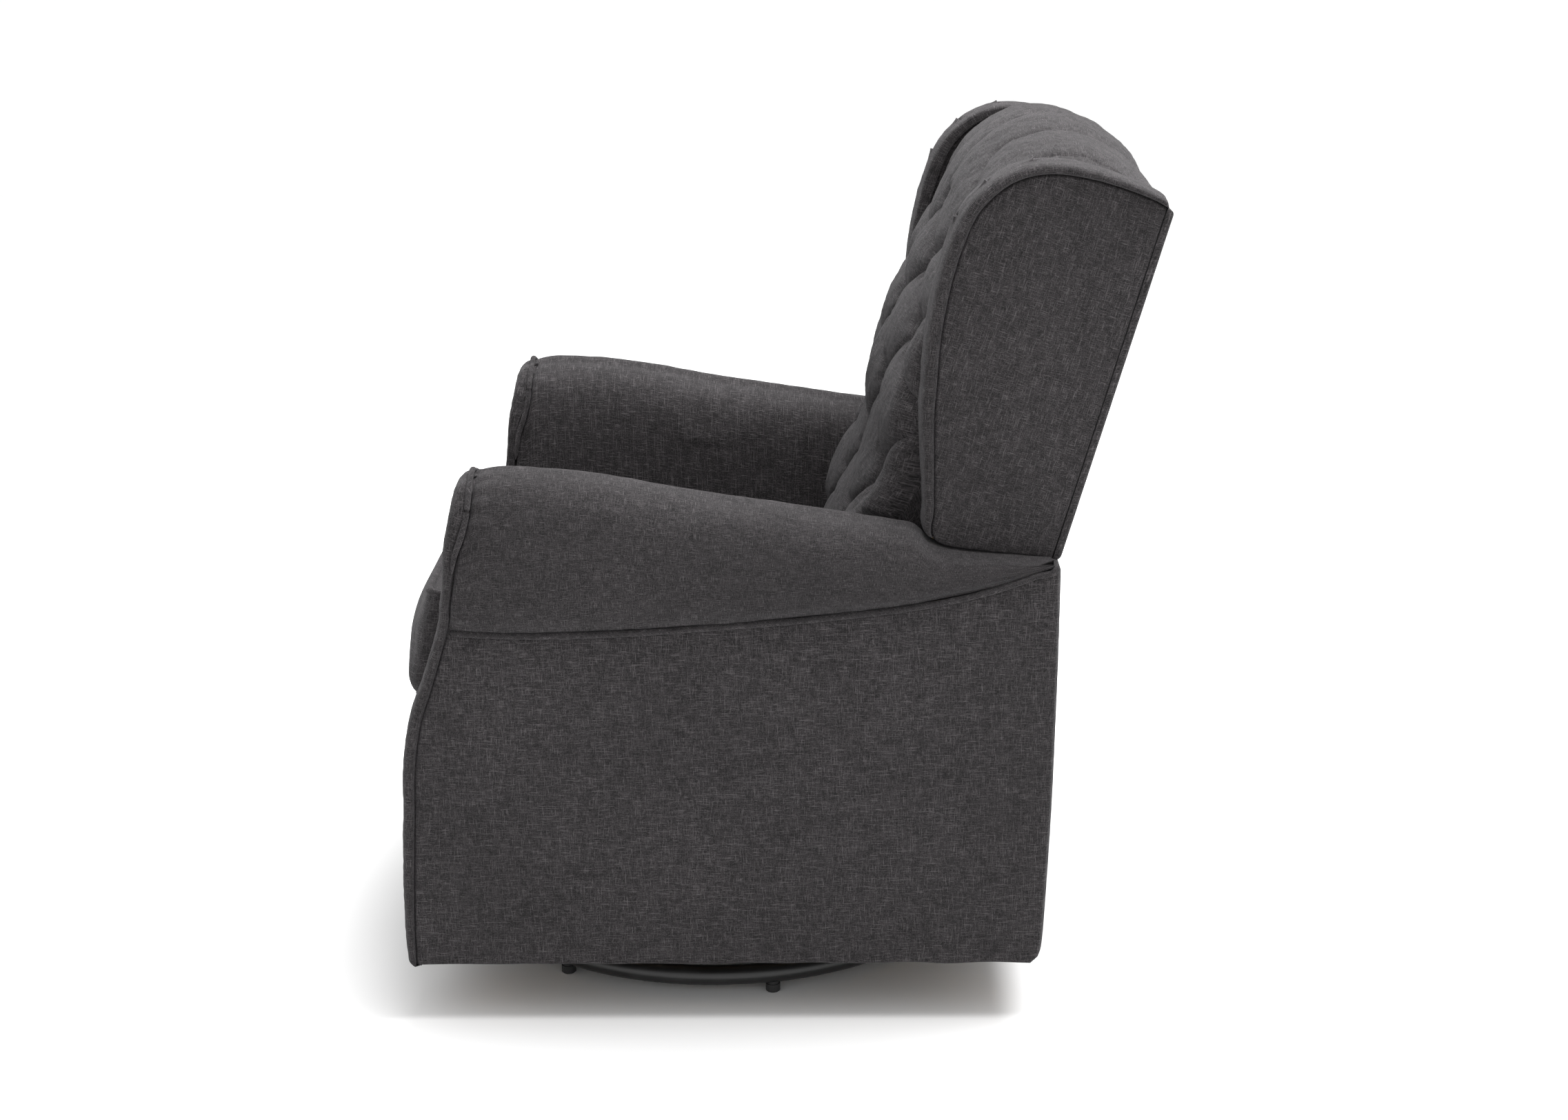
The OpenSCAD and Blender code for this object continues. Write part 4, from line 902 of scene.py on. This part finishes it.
# Fills a closed cover by cloth simulation; held says which points a seam keeps
def inflate(piece, look, held):
    activate(piece)
    remesh = piece.modifiers.new("remesh", "REMESH")
    remesh.mode = "VOXEL"
    remesh.voxel_size = look["voxel"] * mm
    bpy.ops.object.modifier_apply(modifier=remesh.name)
    rest = np.empty(len(piece.data.vertices) * 3)
    piece.data.vertices.foreach_get("co", rest)
    rest = rest.reshape(-1, 3)
    pins = piece.vertex_groups.new(name="seams")
    for i in np.nonzero(held(rest))[0]:
        pins.add([int(i)], 1.0, "REPLACE")
    cloth = piece.modifiers.new("cloth", "CLOTH")
    cloth.settings.use_pressure = True
    cloth.settings.uniform_pressure_force = look["pressure"]
    cloth.settings.vertex_group_mass = "seams"
    cloth.settings.quality = 6
    cloth.settings.mass = 0.3
    cloth.settings.tension_stiffness = 18
    cloth.settings.compression_stiffness = 18
    cloth.settings.effector_weights.gravity = 0
    for f in range(1, 21):
        bpy.context.scene.frame_set(f)
    shown = piece.evaluated_get(bpy.context.evaluated_depsgraph_get())
    moved = np.empty(len(rest) * 3)
    shown.data.vertices.foreach_get("co", moved)
    moved = moved.reshape(-1, 3)
    piece.modifiers.remove(cloth)
    bpy.context.scene.frame_set(1)
    step = moved - rest
    size = np.linalg.norm(step, axis=1)[:, None]
    step = step * np.minimum(1, look["cap"] * mm / np.maximum(size, 1e-9))
    rest = rest + step
    piece.data.vertices.foreach_set("co", rest.ravel())
    piece.data.update()
    finer = piece.modifiers.new("finer", "SUBSURF")
    finer.levels = finer.render_levels = 1
    bpy.ops.object.modifier_apply(modifier=finer.name)
    piece.data.shade_smooth()
    boxCloth(piece)


rings = cushionRings()
ringCloth = np.zeros(rings.shape[:2] + (2,))
seatCushion = ringSolid("seatCushion", rings, ringCloth)


def cushionSeam(end):   # along one side, across the front and back along the other side
    front = []
    for x in stationsAt:
        y, z = cushionLine(x)[1][end]
        front.append((x, y + cornerPull(x, y), z))
    front = np.array(front)
    side = onSeat(half, np.array([40, 100, 200, 300, 420]), 146 if end else 17)
    return np.vstack([(side * [-1, 1, 1])[::-1], front, side])


topSeam = resample(cushionSeam(-1), np.linspace(0, 1, 300))
lowSeam = resample(cushionSeam(0), np.linspace(0, 1, 300))


def nearSeams(points):
    seams = np.vstack([topSeam, lowSeam]) * mm
    near = np.full(len(points), 1e9)
    for p in seams[::2]:
        near = np.minimum(near, ((points - p) ** 2).sum(1))
    return near < (0.009) ** 2


inflate(seatCushion, cushionLook, nearSeams)
dress(seatCushion, "seat_cushion", fill=0.7)
cover = BVHTree.FromObject(seatCushion, bpy.context.evaluated_depsgraph_get())


def snapped(path, lift):
    found = []
    for p in path:
        hit, normalAt, _, _ = cover.find_nearest(Vector(p) * mm)
        found.append(list((hit + normalAt * lift * mm) / mm))
    found = np.array(found)
    kernel = np.array([1, 2, 3, 2, 1]) / 9
    padded = np.vstack([found[:1]] * 2 + [found] + [found[-1:]] * 2)
    return np.stack([np.convolve(padded[:, k], kernel, "valid") for k in range(3)], -1)


for name, path in (("cushionTopWelt", topSeam), ("cushionLowWelt", lowSeam)):
    dress(welt(name, snapped(path, 1.6), cushionLook["weltRadius"]), fill=None)
print("seat cushion made")


def studioFloor():
    f = Finish("paleFloor", None)
    at = f.node("TexCoord", None, None, 3)
    mottle = f.noise(at, 6.0, 3.0, 0.5)
    # painted light: the floor glows more the further it is from the chair, so it goes white far off and stays
    # darker round the chair
    away = f.node("VectorMath", {"operation": "LENGTH"}, {0: at}, 1)
    paintedGlow = f.ramp(away, 0.42, 1.0) * 0.4
    tone = f.mixed(mottle * 0.2, (0.78, 0.78, 0.78), (0.76, 0.76, 0.76))
    lit = f.node("CombineColor", None, {0: paintedGlow, 1: paintedGlow, 2: paintedGlow})
    return f.surface({"Base Color": tone, "Roughness": 0.8 + mottle * 0.05, "Specular IOR Level": 0.1,
                      "Emission Color": lit, "Emission Strength": 1.0})


floorHalf = 7.0
floorCorners = [(-floorHalf, -floorHalf, 0), (floorHalf, -floorHalf, 0),
                (floorHalf, floorHalf, 0), (-floorHalf, floorHalf, 0)]
floorMesh = bpy.data.meshes.new("studioFloor")
floorMesh.from_pydata(floorCorners, [], [(0, 1, 2, 3)])
floor = bpy.data.objects.new("studioFloor", floorMesh)
bpy.context.collection.objects.link(floor)
floor.data.materials.append(studioFloor())

lightLook = {
    "sky": 1.01,
    "top": (205.0, 2.6, (-0.2, 0.75, 3.1), (0, 0, 0.4)),
    "front": (1.0, 1.8, (2.2, -3.0, 2.2), (0, 0, 0.5)),
}
world = bpy.data.worlds.new("studio")
bpy.context.scene.world = world
world.use_nodes = True
world.node_tree.nodes["Background"].inputs[0].default_value = (1, 1, 1, 1)
world.node_tree.nodes["Background"].inputs[1].default_value = lightLook["sky"]
for name in ("top", "front"):
    power, width, at, aim = lightLook[name]
    lamp = bpy.data.lights.new(name + "Light", "AREA")
    lamp.energy, lamp.size = power, width
    lampObject = bpy.data.objects.new(name + "Light", lamp)
    lampObject.location = at
    lampObject.rotation_euler = (Vector(aim) - Vector(at)).to_track_quat("-Z", "Y").to_euler()
    bpy.context.collection.objects.link(lampObject)

cameraLook = {
    "at": (3.2274, 0.0698, 1.3790),
    "yaw": -0.01705,
    "pitch": 0.2752,
    "roll": -0.01036,
    "lens": 59.55,
}
yaw, tilt, roll = cameraLook["yaw"], cameraLook["pitch"], cameraLook["roll"]
ahead = Vector((-math.cos(yaw) * math.cos(tilt), math.sin(yaw) * math.cos(tilt), -math.sin(tilt)))
sideways = ahead.cross(Vector((0, 0, 1))).normalized()
upward = sideways.cross(ahead)
rolledSide = math.cos(roll) * sideways + math.sin(roll) * upward
rolledUp = -math.sin(roll) * sideways + math.cos(roll) * upward
camera = bpy.data.objects.new("camera", bpy.data.cameras.new("camera"))
camera.data.lens, camera.data.sensor_width = cameraLook["lens"], 36.0
camera.data.sensor_fit = "HORIZONTAL"
turned = Matrix((rolledSide, rolledUp, -ahead)).transposed()
camera.matrix_world = Matrix.Translation(cameraLook["at"]) @ turned.to_4x4()
bpy.context.collection.objects.link(camera)
bpy.context.scene.camera = camera
bpy.context.scene.view_settings.view_transform = "Standard"
